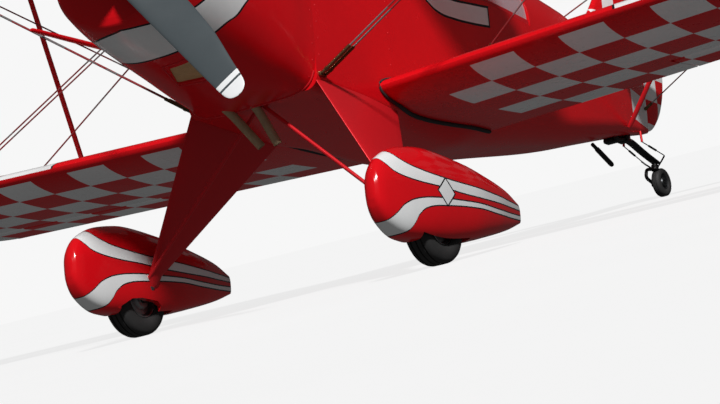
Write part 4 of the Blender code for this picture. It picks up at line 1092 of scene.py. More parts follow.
def bay(side, line):
    """Cut for one aileron, a moving gap wider than it all round."""
    nose = half_thickness(HINGE_FRACTION) + MOVING_GAP
    rings = []
    for x in (AILERON_INBOARD - MOVING_GAP, AILERON_OUTBOARD + MOVING_GAP):
        le_y, z = line(x)
        front = le_y + HINGE_FRACTION * CHORD - nose
        back = le_y + CHORD + 0.05
        rings.append([(side * x, y, z + dz) for y, dz in
                      ((front, -0.1), (front, 0.1), (back, 0.1), (back, -0.1))])
    return skin(rings)


def build_lower_wings():
    """Wings that end a small gap outside the fuselage, each with its aileron's bay."""
    hull = skin([fuselage_ring(y, -ROOT_GAP) for y in spread(FUSELAGE_STATIONS, 6)])
    for label, side in SIDES:
        rows = [(x, *lower_wing_line(x), CHORD) for x in (WING_START_X, 0.9, 1.6, 2.2)]
        rows += tip_rows(LOWER_HALF_SPAN, lower_wing_line)
        wing = mesh_object(f"lower_wing_skin_{label}",
                           skin([section(side * x, y, z, c) for x, y, z, c in rows]))
        carve(wing, [bay(side, lower_wing_line), hull])
        settle(wing, "airframe", "wing_paint", f"lower_wing_{label}", "red_paint")


def build_upper_wing():
    half = []
    for x, chord in ((CENTRE_CUTOUT_HALF_WIDTH, UPPER_CENTRE_CHORD), (UPPER_SWEEP_START, CHORD),
                     (1.2, CHORD), (2.0, CHORD)):
        half.append((x, *upper_wing_line(x), chord))
    half += tip_rows(UPPER_HALF_SPAN, upper_wing_line)
    rings = [section(-x, y, z, c) for x, y, z, c in reversed(half)]
    rings += [section(x, y, z, c) for x, y, z, c in half]
    wing = mesh_object("upper_wing_skin", skin(rings))
    carve(wing, [bay(side, upper_wing_line) for _, side in SIDES])
    settle(wing, "airframe", "upper_wing_paint", "upper_wing", "red_paint")


def build_wheel_pants():
    half = TYRE_HALF_WIDTH + 0.012
    for label, side in SIDES:
        rows = [row_at(PANT_STATIONS, y) for y in spread(PANT_STATIONS, 5)]
        pant = mesh_object(f"wheel_pant_skin_{label}", skin([pant_ring(*row) for row in rows]))
        well = bar([(AXLE_X - half, AXLE_Y, AXLE_Z), (AXLE_X + half, AXLE_Y, AXLE_Z)],
                   TYRE_RADIUS + 0.026, sides=64)
        carve(pant, [well, prism(PANT_OPENING, AXLE_X - 0.25, AXLE_X - half + 0.005, 0)])
        if side < 0:
            turn = LEVEL @ Matrix.Scale(-1, 4, (1, 0, 0)) @ LEVEL.inverted()
            pant.data.transform(turn)
            pant.data.flip_normals()
        settle(pant, "airframe", "pant_paint", f"wheel_pant_{label}", "red_paint", angle=40)


def tyre_profile():
    """Sidewall, shoulder and a tread with three grooves, as closed pairs of X and radius."""
    w = TYRE_HALF_WIDTH
    r = TYRE_RADIUS
    side = [(0.55 * w, RIM_RADIUS), (0.80 * w, RIM_RADIUS + 0.002), (0.93 * w, RIM_RADIUS + 0.014),
            (w, RIM_RADIUS + 0.032), (0.985 * w, r - 0.034), (0.93 * w, r - 0.019),
            (0.82 * w, r - 0.008), (0.66 * w, r - 0.0025)]
    tread = []
    for centre in (0.44, 0.0, -0.44):
        for dx, depth in ((0.07, 0.0), (0.045, 0.006), (-0.045, 0.006), (-0.07, 0.0)):
            tread.append(((centre + dx) * w, r - depth - 0.0008 * abs(centre)))
    return side + tread + [(-x, y) for x, y in reversed(side)]


def rim_profile():
    """Axle boss, dished web and the bed that carries the tyre."""
    edge = RIM_RADIUS - TOUCH_GAP
    return both_halves([(-0.050, 0.022), (-0.050, 0.040), (-0.044, 0.047), (-0.030, 0.052),
                        (-0.028, edge - 0.016), (-0.044, edge - 0.008), (-0.048, edge - 0.002),
                        (-0.046, edge)])


def build_wheels():
    for label, side in SIDES:
        shift = Matrix.Translation((side * AXLE_X, AXLE_Y, AXLE_Z))
        model(f"tyre_tread_{label}", moved(turned(tyre_profile(), 96), shift), f"wheel_{label}",
              "rubber", f"tyre_{label}", "tyre", angle=32)
        model(f"rim_casting_{label}", moved(turned(rim_profile(), 72), shift), f"wheel_{label}",
              "cast_alloy", f"rim_{label}", "rim_silver", angle=35)


def leg_skin():
    """The faired leg, thick ahead and thin behind."""
    front_top, rear_top, front_low, rear_low = [Vector(p) for p in LEG_TOP + LEG_LOW]
    out = Vector(LEG_FACE) * LEG_HALF_THICKNESS
    rings = []
    for i in range(17):
        t = i / 16
        front = front_top.lerp(front_low, t)
        chord = rear_top.lerp(rear_low, t) - front
        ring = []
        for a in turns(LEG_RING):
            s = 0.5 * (1 - math.cos(a))
            thick = min(1.0, 2.2 * math.sqrt(s) * (1 - s) ** 0.75 + 0.02)
            ring.append(front + chord * s + out * math.copysign(thick, math.sin(a)))
        rings.append(ring)
    return skin(rings)


def build_gear_legs():
    """Faired legs, the foot and axle inside each pant, and the brace rods."""
    foot = skin([[(x + half * math.cos(a), (y0 + y1) / 2 + (y1 - y0) / 2 * math.sin(a), z)
                  for a in turns(24)] for x, y0, y1, z, half in FOOT_RINGS])
    leg = leg_skin()
    for label, side in SIDES:
        for name, shape, stands_for in (("gear_leg_skin", leg, f"gear_leg_{label}"),
                                        ("gear_foot", foot, ())):
            model(f"{name}_{label}", shape if side > 0 else mirrored(shape), "airframe",
                  "red_paint", stands_for, "red_paint", angle=60)
        axle = joined(
            bar([(side * 0.690, AXLE_Y, -1.120), (side * 0.722, AXLE_Y, AXLE_Z)], 0.017, sides=24),
            bar([(side * 0.714, AXLE_Y, AXLE_Z), (side * 0.848, AXLE_Y, AXLE_Z)], 0.016, sides=24))
        model(f"axle_shaft_{label}", axle, "airframe", "steel", f"axle_{label}", "axle_steel",
              angle=40)
    rods = [bar([BRACE_TOP, (side * BRACE_FOOT[0], *BRACE_FOOT[1:])], BRACE_RADIUS, sides=20)
            for side in (-1, 1)]
    model("gear_brace_tubes", joined(*rods), "airframe", "red_paint", "gear_brace_rods",
          "red_paint", angle=50)


def exhaust_path(x_root, y_bend, x_tip, y_tip, z_tip):
    """Out under the firewall and down, with smooth bends."""
    return smooth_path([(x_root, y_bend - 0.215, -0.400), (x_root, y_bend - 0.115, -0.440),
                        (x_root, y_bend, -0.460), (x_tip, y_tip, z_tip)])


def smooth_path(corners, start_share=0.35, end_share=0.30, count=7):
    """The path with each inner corner turned into a curve."""
    corners = [Vector(p) for p in corners]
    path = [corners[0]]
    for a, b, c in zip(corners, corners[1:], corners[2:]):
        start = b.lerp(a, start_share)
        end = b.lerp(c, end_share)
        for i in range(count):
            t = i / (count - 1)
            path.append(start * (1 - t) ** 2 + b * 2 * t * (1 - t) + end * t ** 2)
    path.append(corners[-1])
    return path


def build_exhausts():
    for label, row in EXHAUSTS.items():
        path = exhaust_path(*row)
        end = path[-1]
        inward = (path[-2] - end).normalized()
        rings = bar_rings(path, EXHAUST_RADIUS, sides=32)
        rim = rings[-1]
        rings.append([end + (p - end) * 0.88 for p in rim])
        rings.append([end + inward * 0.07 + (p - end) * 0.84 for p in rim])
        model(f"exhaust_pipe_{label}", skin(rings), "airframe", "exhaust_metal",
              f"exhaust_{label}", "exhaust", angle=50)


def blade_shape(way):
    rings = []
    for fraction in spread(BLADE_STATIONS, 4):
        _, chord, thick, pitch, sweep = row_at(BLADE_STATIONS, fraction)
        z = -way * fraction * PROPELLER_RADIUS
        turn = math.radians(pitch) * way
        ring = []
        for a in turns(28):
            u = chord / 2 * math.cos(a) + way * sweep
            v = thick / 2 * math.sin(a)
            ring.append((u * math.cos(turn) - v * math.sin(turn),
                         u * math.sin(turn) + v * math.cos(turn), z))
        rings.append(ring)
    return skin(rings)


def build_propeller():
    place = Matrix.Translation((0, PROPELLER_Y, 0)) @ Matrix.Rotation(-BLADE_ANGLE, 4, "Y")
    hub = bar([(0, -0.055, 0), (0, 0.190, 0)], 0.060, sides=48)
    blades = mesh_object("propeller_blades", moved(hub, place))
    carve(blades, [moved(blade_shape(way), place) for way in (1, -1)], "UNION")
    settle(blades, "propeller", "blade_paint", "propeller", "grey_blade", angle=40)
    profile = []
    length = SPINNER_BACK_Y - SPINNER_TIP_Y
    for i in range(25):
        along = math.sin(math.pi / 2 * i / 24)
        radius = SPINNER_RADIUS * max(0.0, 1 - along ** 2) ** 0.45
        profile.append((SPINNER_BACK_Y - along * length - PROPELLER_Y, max(radius, 0.002)))
    rings = [[(r * math.cos(a), y, r * math.sin(a)) for a in turns(72)] for y, r in profile]
    spinner = mesh_object("spinner_shell", moved(skin(rings), place))
    cuts = [bar([(0, 0.5, 0), (0, -0.075, 0)], 0.068, sides=48)]
    for low, high in ((-0.3, -0.05), (0.05, 0.3)):
        cuts.append(block((-0.075, -0.062, low), (0.075, 0.08, high)))
    carve(spinner, [moved(cut, place) for cut in cuts])
    settle(spinner, "propeller", "red_paint", "spinner", "red_paint", angle=40)


def lens(outline, axis, level, thickness, edge=0.010):
    """Flat surface with rounded edges from an outline."""
    middle = [sum(p[k] for p in outline) / len(outline) for k in (0, 1)]
    steps = ((0.0, 0.25), (0.004, 0.7), (0.012, 1.0), (0.05, None), (0.12, None), (0.22, None))
    half = thickness / 2
    rings = []
    for inset, share in steps:
        if share is None:
            height = edge / 2 + (half - edge / 2) * math.sin(math.pi / 2 * inset / 0.22)
        else:
            height = edge / 2 * share
        pairs = [tuple(p[k] + (middle[k] - p[k]) * inset for k in (0, 1)) for p in outline]
        rings.append((pairs, height))

    def ring(pairs, height):
        points = []
        for pair in pairs:
            point = list(pair)
            point.insert(axis, level + height)
            points.append(tuple(point))
        return points

    order = [ring(pairs, -height) for pairs, height in reversed(rings)]
    order += [ring(pairs, height) for pairs, height in rings]
    return skin(order)


def rounded(outline, radius=0.03, count=4):
    """The outline with its corners turned into short arcs."""
    points = [Vector(p) for p in outline]
    result = []
    for i, b in enumerate(points):
        a = points[i - 1]
        c = points[(i + 1) % len(points)]
        before = min(radius, (a - b).length * 0.45)
        after = min(radius, (c - b).length * 0.45)
        start = b + (a - b).normalized() * before
        end = b + (c - b).normalized() * after
        for k in range(count + 1):
            t = k / count
            point = start * (1 - t) ** 2 + b * 2 * t * (1 - t) + end * t ** 2
            result.append(tuple(point))
    return result


# Outlines of the tail: fin and rudder as Y and Z, tailplane as X and Y, and elevator as X and
# the distance behind its hinge line
FIN_BASE_Z = TAILPLANE_Z + TAILPLANE_THICKNESS / 2 + 0.001
FIN_BACK_Y = FIN_HINGE_Y - 0.030
FIN_OUTLINE = ((3.03, FIN_BASE_Z), (3.20, 0.72), (3.36, 0.92), (3.47, 1.02), (3.58, 1.065),
               (FIN_BACK_Y, 1.08), (FIN_BACK_Y, FIN_BASE_Z))
RUDDER_NOSE_Y = FIN_HINGE_Y - 0.018
RUDDER_OUTLINE = ((RUDDER_NOSE_Y, 0.112), (3.763, 0.134), (3.867, 0.235), (3.930, 0.360),
                  (3.955, 0.520), (3.950, 0.700), (3.910, 0.880), (3.830, 1.010),
                  (RUDDER_NOSE_Y, 1.085))
HALF_TAILPLANE = ((0.0, 3.02), (0.35, 3.04), (TAILPLANE_HALF_SPAN - 0.25, 3.11),
                  (TAILPLANE_HALF_SPAN - 0.08, 3.19), (TAILPLANE_HALF_SPAN, 3.30),
                  (TAILPLANE_HALF_SPAN, ELEVATOR_HINGE_Y - 0.024))
HALF_ELEVATOR = ((0.105, -0.016), (TAILPLANE_HALF_SPAN, -0.016), (TAILPLANE_HALF_SPAN, 0.10),
                 (TAILPLANE_HALF_SPAN - 0.06, 0.20), (TAILPLANE_HALF_SPAN - 0.20, 0.27),
                 (0.55, 0.305), (0.165, 0.315), (0.115, 0.20))
ELEVATOR_TUBE_RADIUS = 0.0135


def build_tail():
    fin = lens(rounded(FIN_OUTLINE, 0.05), 0, 0.0, 0.040)
    model("fin_skin", fin, "airframe", "tail_paint", "fin", "red_paint", angle=50)
    rudder = lens(rounded(RUDDER_OUTLINE, 0.06), 0, 0.0, 0.036)
    model("rudder_skin", rudder, "rudder", "tail_paint", "rudder", "red_paint", angle=50)
    plane = [*HALF_TAILPLANE, *[(-x, y) for x, y in reversed(HALF_TAILPLANE[1:])]]
    model("tailplane_skin", lens(rounded(plane, 0.05), 2, TAILPLANE_Z, TAILPLANE_THICKNESS),
          "airframe", "tailplane_paint", "tailplane", "red_paint", angle=50)
    halves = []
    for side in (-1, 1):
        outline = [(side * x, ELEVATOR_HINGE_Y + y) for x, y in HALF_ELEVATOR]
        halves.append(lens(rounded(outline, 0.04), 2, TAILPLANE_Z, 0.036))
    ends = [(x, ELEVATOR_HINGE_Y, TAILPLANE_Z) for x in (-0.30, 0.30)]
    tube = mesh_object("elevator_skin", bar(ends, ELEVATOR_TUBE_RADIUS, sides=24))
    carve(tube, halves, "UNION")
    settle(tube, "elevator", "tailplane_paint", "elevator", "red_paint", angle=50)


def canopy_arch(y, width, top, inset, base=SILL_Z + 0.026, count=40):
    return [((width - inset) * math.cos(math.pi * i / count), y,
             base + (top - inset - base) * math.sin(math.pi * i / count))
            for i in range(count + 1)]


# Station Y, half width, top Z
CANOPY_STATIONS = ((COCKPIT_FRONT_Y + 0.010, 0.318, 0.700), (1.25, 0.326, 0.775),
                   (1.50, 0.318, 0.790), (1.75, 0.302, 0.735),
                   (COCKPIT_BACK_Y - 0.010, 0.284, 0.612))
SCREEN_STATIONS = ((0.64, 0.150, 0.46), (0.80, 0.262, 0.560), (0.92, 0.300, 0.640),
                   (COCKPIT_FRONT_Y - 0.003, 0.318, 0.700))


def build_glazing():
    rings = []
    for y in spread(CANOPY_STATIONS, 6):
        _, width, top = row_at(CANOPY_STATIONS, y)
        rings.append(canopy_arch(y, width, top, 0.0)
                     + list(reversed(canopy_arch(y, width, top, GLASS))))
    model("canopy_bubble", skin(rings), "canopy", "glazing", "canopy_glass", "glazing", angle=40)
    rings = []
    for y in spread(SCREEN_STATIONS, 5):
        _, width, top = row_at(SCREEN_STATIONS, y)
        base = deck_height(y, 0.0)
        rise = max(top - base, 0.02)
        outer, inner = [], []
        for i in range(41):
            c = math.cos(math.pi * i / 40)
            s = max(0.0, math.sin(math.pi * i / 40))
            outer.append((width * c, y, deck_height(y, width * c) + 0.006 + rise * s ** 0.8))
            inner.append(((width - GLASS) * c, y, deck_height(y, (width - GLASS) * c) + 0.006
                          + (rise - GLASS) * s ** 0.8))
        rings.append(outer + list(reversed(inner)))
    model("windscreen_panel", skin(rings), "airframe", "glazing", "windscreen", "glazing",
          angle=40)


def hull_width(y, z):
    """Half width of the fuselage at a height below its longeron."""
    _, w, keel, _, _, across, up = row_at(FUSELAGE_STATIONS, y)
    if z >= keel + up:
        return w
    share = min(1.0, max(0.0, 1 - (z - keel) / up))
    return w - across * (1 - math.sqrt(1 - share ** 2))


def wing_root_point(fraction, way):
    """Where the lower wing's skin meets the fuselage."""
    x = 0.33
    for _ in range(30):
        le_y, plane = lower_wing_line(x)
        y = le_y + fraction * CHORD
        z = plane + way * half_thickness(fraction)
        x = 0.5 * (x + hull_width(y, z))
    return Vector((x, y, z))


def build_root_seals():
    """Black rubber strip round each lower wing root."""
    steps = [0.98 * 0.5 * (1 - math.cos(math.pi * i / 20)) for i in range(21)]
    path = [wing_root_point(s, -1) for s in reversed(steps)]
    path += [wing_root_point(s, 1) for s in steps[1:]]
    drop = [Vector((0.004, 0, -0.005))] * 21 + [Vector((0.004, 0, 0.004))] * 20
    path = [p + d for p, d in zip(path, drop)]
    radius = [0.014] * 12 + [0.014 - 0.0009 * i for i in range(9)] + [0.006] * 20
    shape = bar(path, radius, sides=12, flat=0.7)
    for label, side in SIDES:
        model(f"root_seal_{label}", shape if side > 0 else mirrored(shape), "airframe",
              "seal_rubber", angle=60)


def upper_underside(x, y):
    """Height of the upper wing's underside at a place."""
    le_y, z = upper_wing_line(x)
    part = (abs(x) - CENTRE_CUTOUT_HALF_WIDTH) / (UPPER_SWEEP_START - CENTRE_CUTOUT_HALF_WIDTH)
    chord = UPPER_CENTRE_CHORD + min(max(part, 0.0), 1.0) * (CHORD - UPPER_CENTRE_CHORD)
    return z - half_thickness((y - le_y) / chord, chord)


def cabane_shape(side):
    """Two legs and a diagonal on one side, with a plate at each end."""
    feet = [Vector((side * 0.290, y, deck_height(y + 0.03, 0.274) + 0.0185))
            for y in (0.06, 0.60)]
    heads = [Vector((side * 0.340, y, upper_underside(0.340, y) - 0.021))
             for y in (0.08, 0.50)]
    rods = [bar([a, b], radius, sides=20) for a, b, radius in (
        (feet[0], heads[0], 0.015), (feet[1], heads[1], 0.015), (feet[0], heads[1], 0.012))]
    plates = [block((p.x - 0.016, p.y - 0.032, p.z - 0.012),
                    (p.x + 0.016, p.y + 0.032, p.z + 0.012)) for p in feet + heads]
    return joined(*rods, *plates)


def interplane_outline():
    """Side view of the faired strut: wide where it meets each wing, narrow at its waist."""
    foot, head = [[(le_y + f * CHORD, z + way * (half_thickness(f) + 0.003))
                   for f in (0.20, 0.27, 0.34, 0.41, 0.48, 0.55, 0.62)]
                  for (le_y, z), way in ((lower_wing_line(STRUT_X), 1),
                                         (upper_wing_line(STRUT_X), -1))]
    head.reverse()
    (low_y, low_z), (high_y, high_z) = foot[3], head[3]
    slope = (high_y - low_y) / (high_z - low_z)
    edge = ((low_z + 0.05, 0.110), (low_z + 0.14, 0.065), (high_z - 0.14, 0.065),
            (high_z - 0.05, 0.110))
    back = [(low_y + slope * (z - low_z) + half, z) for z, half in edge]
    front = [(low_y + slope * (z - low_z) - half, z) for z, half in reversed(edge)]
    return [*foot, *back, *head, *front]


def slave_shape(side):
    """Tube with a tapered end on each aileron's horn."""
    x = side * SLAVE_STRUT_X
    foot = slave_pin(x, lower_wing_line, 1)
    head = slave_pin(x, upper_wing_line, -1)
    reach = (head - foot).normalized()
    return joined(bar([foot + reach * t for t in (0.002, 0.05, 0.09)], [0.008, 0.009, 0.013],
                      sides=20),
                  bar([foot + reach * 0.09, head - reach * 0.09], 0.013, sides=20),
                  bar([head - reach * t for t in (0.09, 0.05, 0.002)], [0.013, 0.009, 0.008],
                      sides=20))


def build_struts():
    """Cabane, interplane and slave struts, wires and their end fittings."""
    for label, side in SIDES:
        model(f"cabane_tubes_{label}", cabane_shape(side), "airframe", "red_paint",
              f"cabane_struts_{label}", "red_paint", angle=40, bevel=0.002)
        strut = prism(interplane_outline(), side * (STRUT_X - 0.014), side * (STRUT_X + 0.014), 0)
        model(f"interplane_fairing_{label}", strut, "airframe", "strut_paint",
              f"interplane_strut_{label}", "red_paint", angle=45, bevel=0.010)
        model(f"slave_tube_{label}", slave_shape(side), f"slave_strut_{label}", "red_paint",
              f"slave_strut_{label}", "red_paint", angle=50)
        build_bracing(label, side)


def slave_pin(x, line, way):
    """Middle of the pin that joins the slave strut to an aileron's horn."""
    le_y, z = line(x)
    return Vector((x, le_y + HINGE_FRACTION * CHORD + SLAVE_PIVOT_AFT,
                   z + way * SLAVE_PIVOT_OUT))


def wire_end(start, toward, length=0.17):
    """Long rod end and lock nut of a flying wire."""
    along = (Vector(toward) - Vector(start)).normalized()
    start = Vector(start)
    return joined(bar([start, start + along * length], 0.0082, sides=14),
                  bar([start + along * length * 0.12, start + along * length * 0.20], 0.0105,
                      sides=6))


def build_bracing(label, side):
    """Flying and landing wires with their rod ends, the gear end's lug and the javelin."""
    le_y, plane = upper_wing_line(FLYING_X)
    under = plane - half_thickness(0.3) - 0.012
    top = [Vector((side * FLYING_X, le_y + f * CHORD, under)) for f in (0.20, 0.53)]
    y, z = lower_wing_line(STRUT_X)
    foot = [Vector((side * (STRUT_X - 0.045), y + f * CHORD, z + half_thickness(f) + 0.020))
            for f in (0.20, 0.62)]
    pair = Vector((0, 0.030, 0))
    gear_end, rear_root, cabane_end, cabane_rear = [
        Vector((side * x, y, z)) for x, y, z in (GEAR_END, REAR_ROOT, CABANE_END, CABANE_REAR)]
    flying = ((gear_end, top[0]), (gear_end + pair, top[0] + pair), (rear_root, top[1]))
    landing = ((cabane_end, foot[0]), (cabane_end + pair, foot[0] + pair), (cabane_rear, foot[1]))
    for name, ends, bar_ends in (("flying_wires", flying, (top[0], top[1] + pair)),
                                 ("landing_wires", landing, (foot[0], foot[1] + pair))):
        wires = [bar([a, b], 0.0040, sides=10) for a, b in ends]
        wires.append(bar(bar_ends, 0.009, sides=16))
        model(f"{name}_drawn_{label}", joined(*wires), "airframe", "wire_red",
              f"{name}_{label}", "wire_steel", angle=50)
        fittings = [wire_end(a, b) for a, b in ends] + [wire_end(b, a) for a, b in ends]
        model(f"{name}_ends_{label}", joined(*fittings), "airframe", "wire_brown", angle=40)
    low_y, high_y = gear_end.y - 0.008, gear_end.y + 0.038
    lug = prism([(low_y, -0.412), (high_y, -0.412), (high_y, -0.392), (low_y, -0.392)],
                side * 0.340, side * 0.358, 0)
    model(f"wire_lug_{label}", lug, "airframe", "wire_brown", angle=40, bevel=0.003)
    x = side * JAVELIN_X
    front = Vector((x, JAVELIN_FRONT_Y, JAVELIN_Z))
    back = Vector((x, JAVELIN_BACK_Y, JAVELIN_Z + JAVELIN_RISE))
    javelin = bar([front.lerp(back, t) for t in (0.0, 0.012, 0.06, 0.30, 0.92, 0.985, 1.0)],
                  [0.006, 0.010, 0.011, 0.013, 0.013, 0.009, 0.004], sides=20)
    model(f"javelin_bar_{label}", javelin, "airframe", "javelin_paint", f"javelin_{label}",
          "red_paint", angle=60)


def aileron_ring(x, line):
    """Round nose about the hinge, flat sides to the trailing edge."""
    le_y, z = line(x)
    hinge_y = le_y + HINGE_FRACTION * CHORD
    radius = half_thickness(HINGE_FRACTION) - TOUCH_GAP
    ring = []
    for i in range(25):
        angle = math.pi / 2 + math.pi * i / 24
        ring.append((x, hinge_y + radius * math.cos(angle), z + radius * math.sin(angle)))
    edge = half_thickness(1.0)
    return ring + [(x, le_y + CHORD, z - edge), (x, le_y + CHORD, z + edge)]


def build_ailerons():
    for label, side in SIDES:
        for level, line, way in (("lower", lower_wing_line, 1), ("upper", upper_wing_line, -1)):
            name = f"aileron_{level}_{label}"
            rings = [aileron_ring(side * x, line) for x in (AILERON_INBOARD, AILERON_OUTBOARD)]
            obj = mesh_object(f"{name}_skin", skin(rings))
            pin = slave_pin(side * SLAVE_STRUT_X, line, way)
            near = pin.x - side * HORN_OFFSET - HORN_HALF_THICKNESS
            base = pin.z - way * SLAVE_PIVOT_OUT
            horn = prism(((pin.y - 0.045, base), (pin.y + 0.045, base),
                          (pin.y + 0.014, pin.z + way * 0.012),
                          (pin.y - 0.014, pin.z + way * 0.012)), near, near + 0.008, 0)
            carve(obj, [horn], "UNION")
            paint_name = "wing_paint" if level == "lower" else "upper_wing_paint"
            settle(obj, name, paint_name, name, "red_paint", angle=35)


# Leaf spring's side view, as pairs of Y and Z
SPRING_PATH = ((3.230, -0.013), (3.300, 0.003), (3.430, 0.028), (3.490, 0.030), (3.620, -0.008),
               (STEER_PIVOT_Y + 0.020, STEER_PIVOT_Z + 0.020))
# Steering: X of each arm's foot under the rudder, and X and Y of the fork horn's end
ARM_X = 0.056
HORN_TIP = (0.071, 3.735)
# Belly aerial from its foot to its tip: Y, Z, radius
MAST_RINGS = ((3.060, -0.072, 0.010), (3.085, -0.082, 0.010), (3.105, -0.0900, 0.010),
              (3.107, -0.0908, 0.0135), (3.245, -0.1460, 0.0135), (3.256, -0.1505, 0.011),
              (3.260, -0.152, 0.005))


def build_tail_spring():
    smooth = smooth_path([(0, y, z) for y, z in SPRING_PATH], 0.4, 0.4, 5)
    rings = []
    for i, p in enumerate(smooth):
        half = 0.025 - 0.004 * i / len(smooth)
        rings.append([(dx * half, p.y, p.z + dz) for dx, dz in
                      ((-1, -0.014), (1, -0.014), (1, 0), (-1, 0))])
    model("tail_leaf_spring", skin(rings), "airframe", "black_paint", "tail_spring",
          "black_paint", angle=40, bevel=0.003)
    clamps = joined(block((-0.034, 3.250, -0.026), (0.034, 3.300, 0.016)),
                    block((-0.030, 3.400, 0.004), (0.030, 3.445, 0.050)))
    model("tail_spring_clamps", clamps, "airframe", "black_paint", angle=40, bevel=0.003)


def build_steering():
    """Arms under the rudder and the rods with springs that lead back from them."""
    arms = [bar([(side * 0.052, 3.520, 0.075), (side * ARM_X, 3.520, 0.014)], 0.0065, sides=14)
            for side in (-1, 1)]
    model("steering_arms", joined(*arms), "airframe", "red_paint", angle=50)
    rods = []
    for side in (-1, 1):
        low = Vector((side * ARM_X, 3.522, 0.014))
        far = Vector((side * HORN_TIP[0], HORN_TIP[1], -0.026))
        rods.append(bar([low, far], 0.0028, sides=8))
        rods.append(bar([low.lerp(far, 0.30), low.lerp(far, 0.62)], 0.0058, sides=12))
    model("steering_springs", joined(*rods), "airframe", "black_paint", angle=50)


def build_tailwheel():
    """One-armed fork with its steering horn, and the small wheel."""
    head = bar([(0, STEER_PIVOT_Y - 0.003, STEER_PIVOT_Z - 0.004),
                (0, STEER_PIVOT_Y - 0.011, STEER_PIVOT_Z - 0.030)], 0.021, sides=32)
    half_horn = [(*HORN_TIP, -0.028), (0.050, 3.738, -0.050), (0.022, 3.746, -0.074)]
    horn = bar([(-x, y, z) for x, y, z in half_horn] + half_horn[::-1], 0.0045, sides=12)
    arm = bar(smooth_path([(-0.004, 3.748, -0.084), (-0.048, 3.738, -0.078),
                           (-0.052, 3.730, -0.125), (-0.044, TAILWHEEL_Y, TAILWHEEL_Z)]),
              0.0095, sides=20)
    pin, cap = [bar([(a, TAILWHEEL_Y, TAILWHEEL_Z), (b, TAILWHEEL_Y, TAILWHEEL_Z)], radius,
                    sides=sides)
                for a, b, radius, sides in ((-0.052, 0.022, 0.0065, 20),
                                            (-0.056, -0.036, 0.013, 24))]
    model("tailwheel_arm", joined(head, horn, arm, pin, cap), "tailwheel_fork", "black_paint",
          "tailwheel_fork", "black_paint", angle=40)
    shift = Matrix.Translation((0, TAILWHEEL_Y, TAILWHEEL_Z))
    w = TAILWHEEL_HALF_WIDTH
    r = TAILWHEEL_RADIUS
    seat = TAILWHEEL_RIM_RADIUS
    tyre = both_halves([(0.7 * w, seat), (0.92 * w, seat + 0.006), (w, seat + 0.014),
                        (0.97 * w, r - 0.014), (0.85 * w, r - 0.006), (0.60 * w, r - 0.001),
                        (0.30 * w, r), (0.26 * w, r - 0.003), (0.16 * w, r - 0.003),
                        (0.12 * w, r)])
    model("tailwheel_tread", moved(turned(tyre, 72), shift), "tailwheel", "rubber",
          "tailwheel_tyre", "tyre", angle=32)
    disc = both_halves([(-0.022, 0.012), (-0.022, 0.019), (-0.019, 0.024), (-0.012, 0.027),
                        (-0.014, 0.036), (-0.019, seat - TOUCH_GAP)])
    model("tailwheel_disc", moved(turned(disc, 60), shift), "tailwheel", "dark_alloy",
          "tailwheel_hub", "rim_silver", angle=35)


def build_tail_bracing():
    """Strut under the tailplane and the wires to the fin, on each side."""
    under = TAILPLANE_Z - TAILPLANE_THICKNESS / 2 - 0.014
    over = TAILPLANE_Z + TAILPLANE_THICKNESS / 2 + 0.010
    for label, side in SIDES:
        strut = bar([(side * 0.110, 3.285, 0.040), (side * 0.135, 3.279, 0.065),
                     (side * 0.475, 3.190, under)], [0.010, 0.013, 0.013], sides=20, flat=0.75)
        model(f"tail_strut_tube_{label}", strut, "airframe", "red_paint",
              f"tail_strut_{label}", "red_paint", angle=60)
        runs = [[Vector((side * x, y, z)) for x, y, z in ends] for ends in (
            ((0.026, 3.50, 0.930), (0.760, 3.300, over)),
            ((0.036, 3.640, 0.225), (0.730, 3.385, under + 0.004)))]
        wires = [bar(run, radius, sides=10) for run, radius in zip(runs, (0.0040, 0.0035))]
        model(f"tail_wires_{label}", joined(*wires), "airframe", "wire_red",
              f"tail_wire_{label}", "wire_steel", angle=50)
        ends = [wire_end(a, b, 0.06) for run in runs for a, b in (run, run[::-1])]
        model(f"tail_wire_ends_{label}", joined(*ends), "airframe", "wire_brown", angle=40)


def build_tail_fittings():
    """Leaf spring, steering, tailwheel, the short belly aerial and the tail's bracing."""
    build_tail_spring()
    build_steering()
    build_tailwheel()
    aerial = bar([(0, y, z) for y, z, _ in MAST_RINGS], [row[2] for row in MAST_RINGS], sides=24)
    model("belly_mast", aerial, "airframe", "black_paint", "belly_aerial", "black_paint",
          angle=50)
    build_tail_bracing()


def pad_shape(start, end, outward):
    """Crowned pad from one edge's middle to the other's, with sewn channels along it."""
    start, end, outward = Vector(start), Vector(end), Vector(outward).normalized()
    columns, rows = 60, 28
    points = []
    for way in (1, -1):
        for j in range(rows + 1):
            v = 2 * j / rows - 1
            for i in range(columns + 1):
                u = 2 * i / columns - 1
                channel = abs(math.sin(math.pi * PAD_CHANNELS * i / columns)) ** 0.35
                edge = (1 - u ** 8) * (1 - v ** 8)
                height = PAD_THICKNESS / 2 * edge ** 0.45 * (0.80 + 0.20 * channel * (way > 0))
                pull = 1 - 0.030 * (1 - abs(v) ** 2) * u ** 2
                point = start.lerp(end, (v * (1 - 0.020 * (1 - u ** 2)) + 1) / 2)
                points.append(point + Vector((u * pull * SEAT_HALF_WIDTH * 0.96, 0, 0))
                              + outward * way * height)
    width = columns + 1
    faces = []
    for first in (0, width * (rows + 1)):
        for j in range(rows):
            for i in range(columns):
                a = first + j * width + i
                faces.append([a, a + 1, a + width + 1, a + width])
    return points, faces


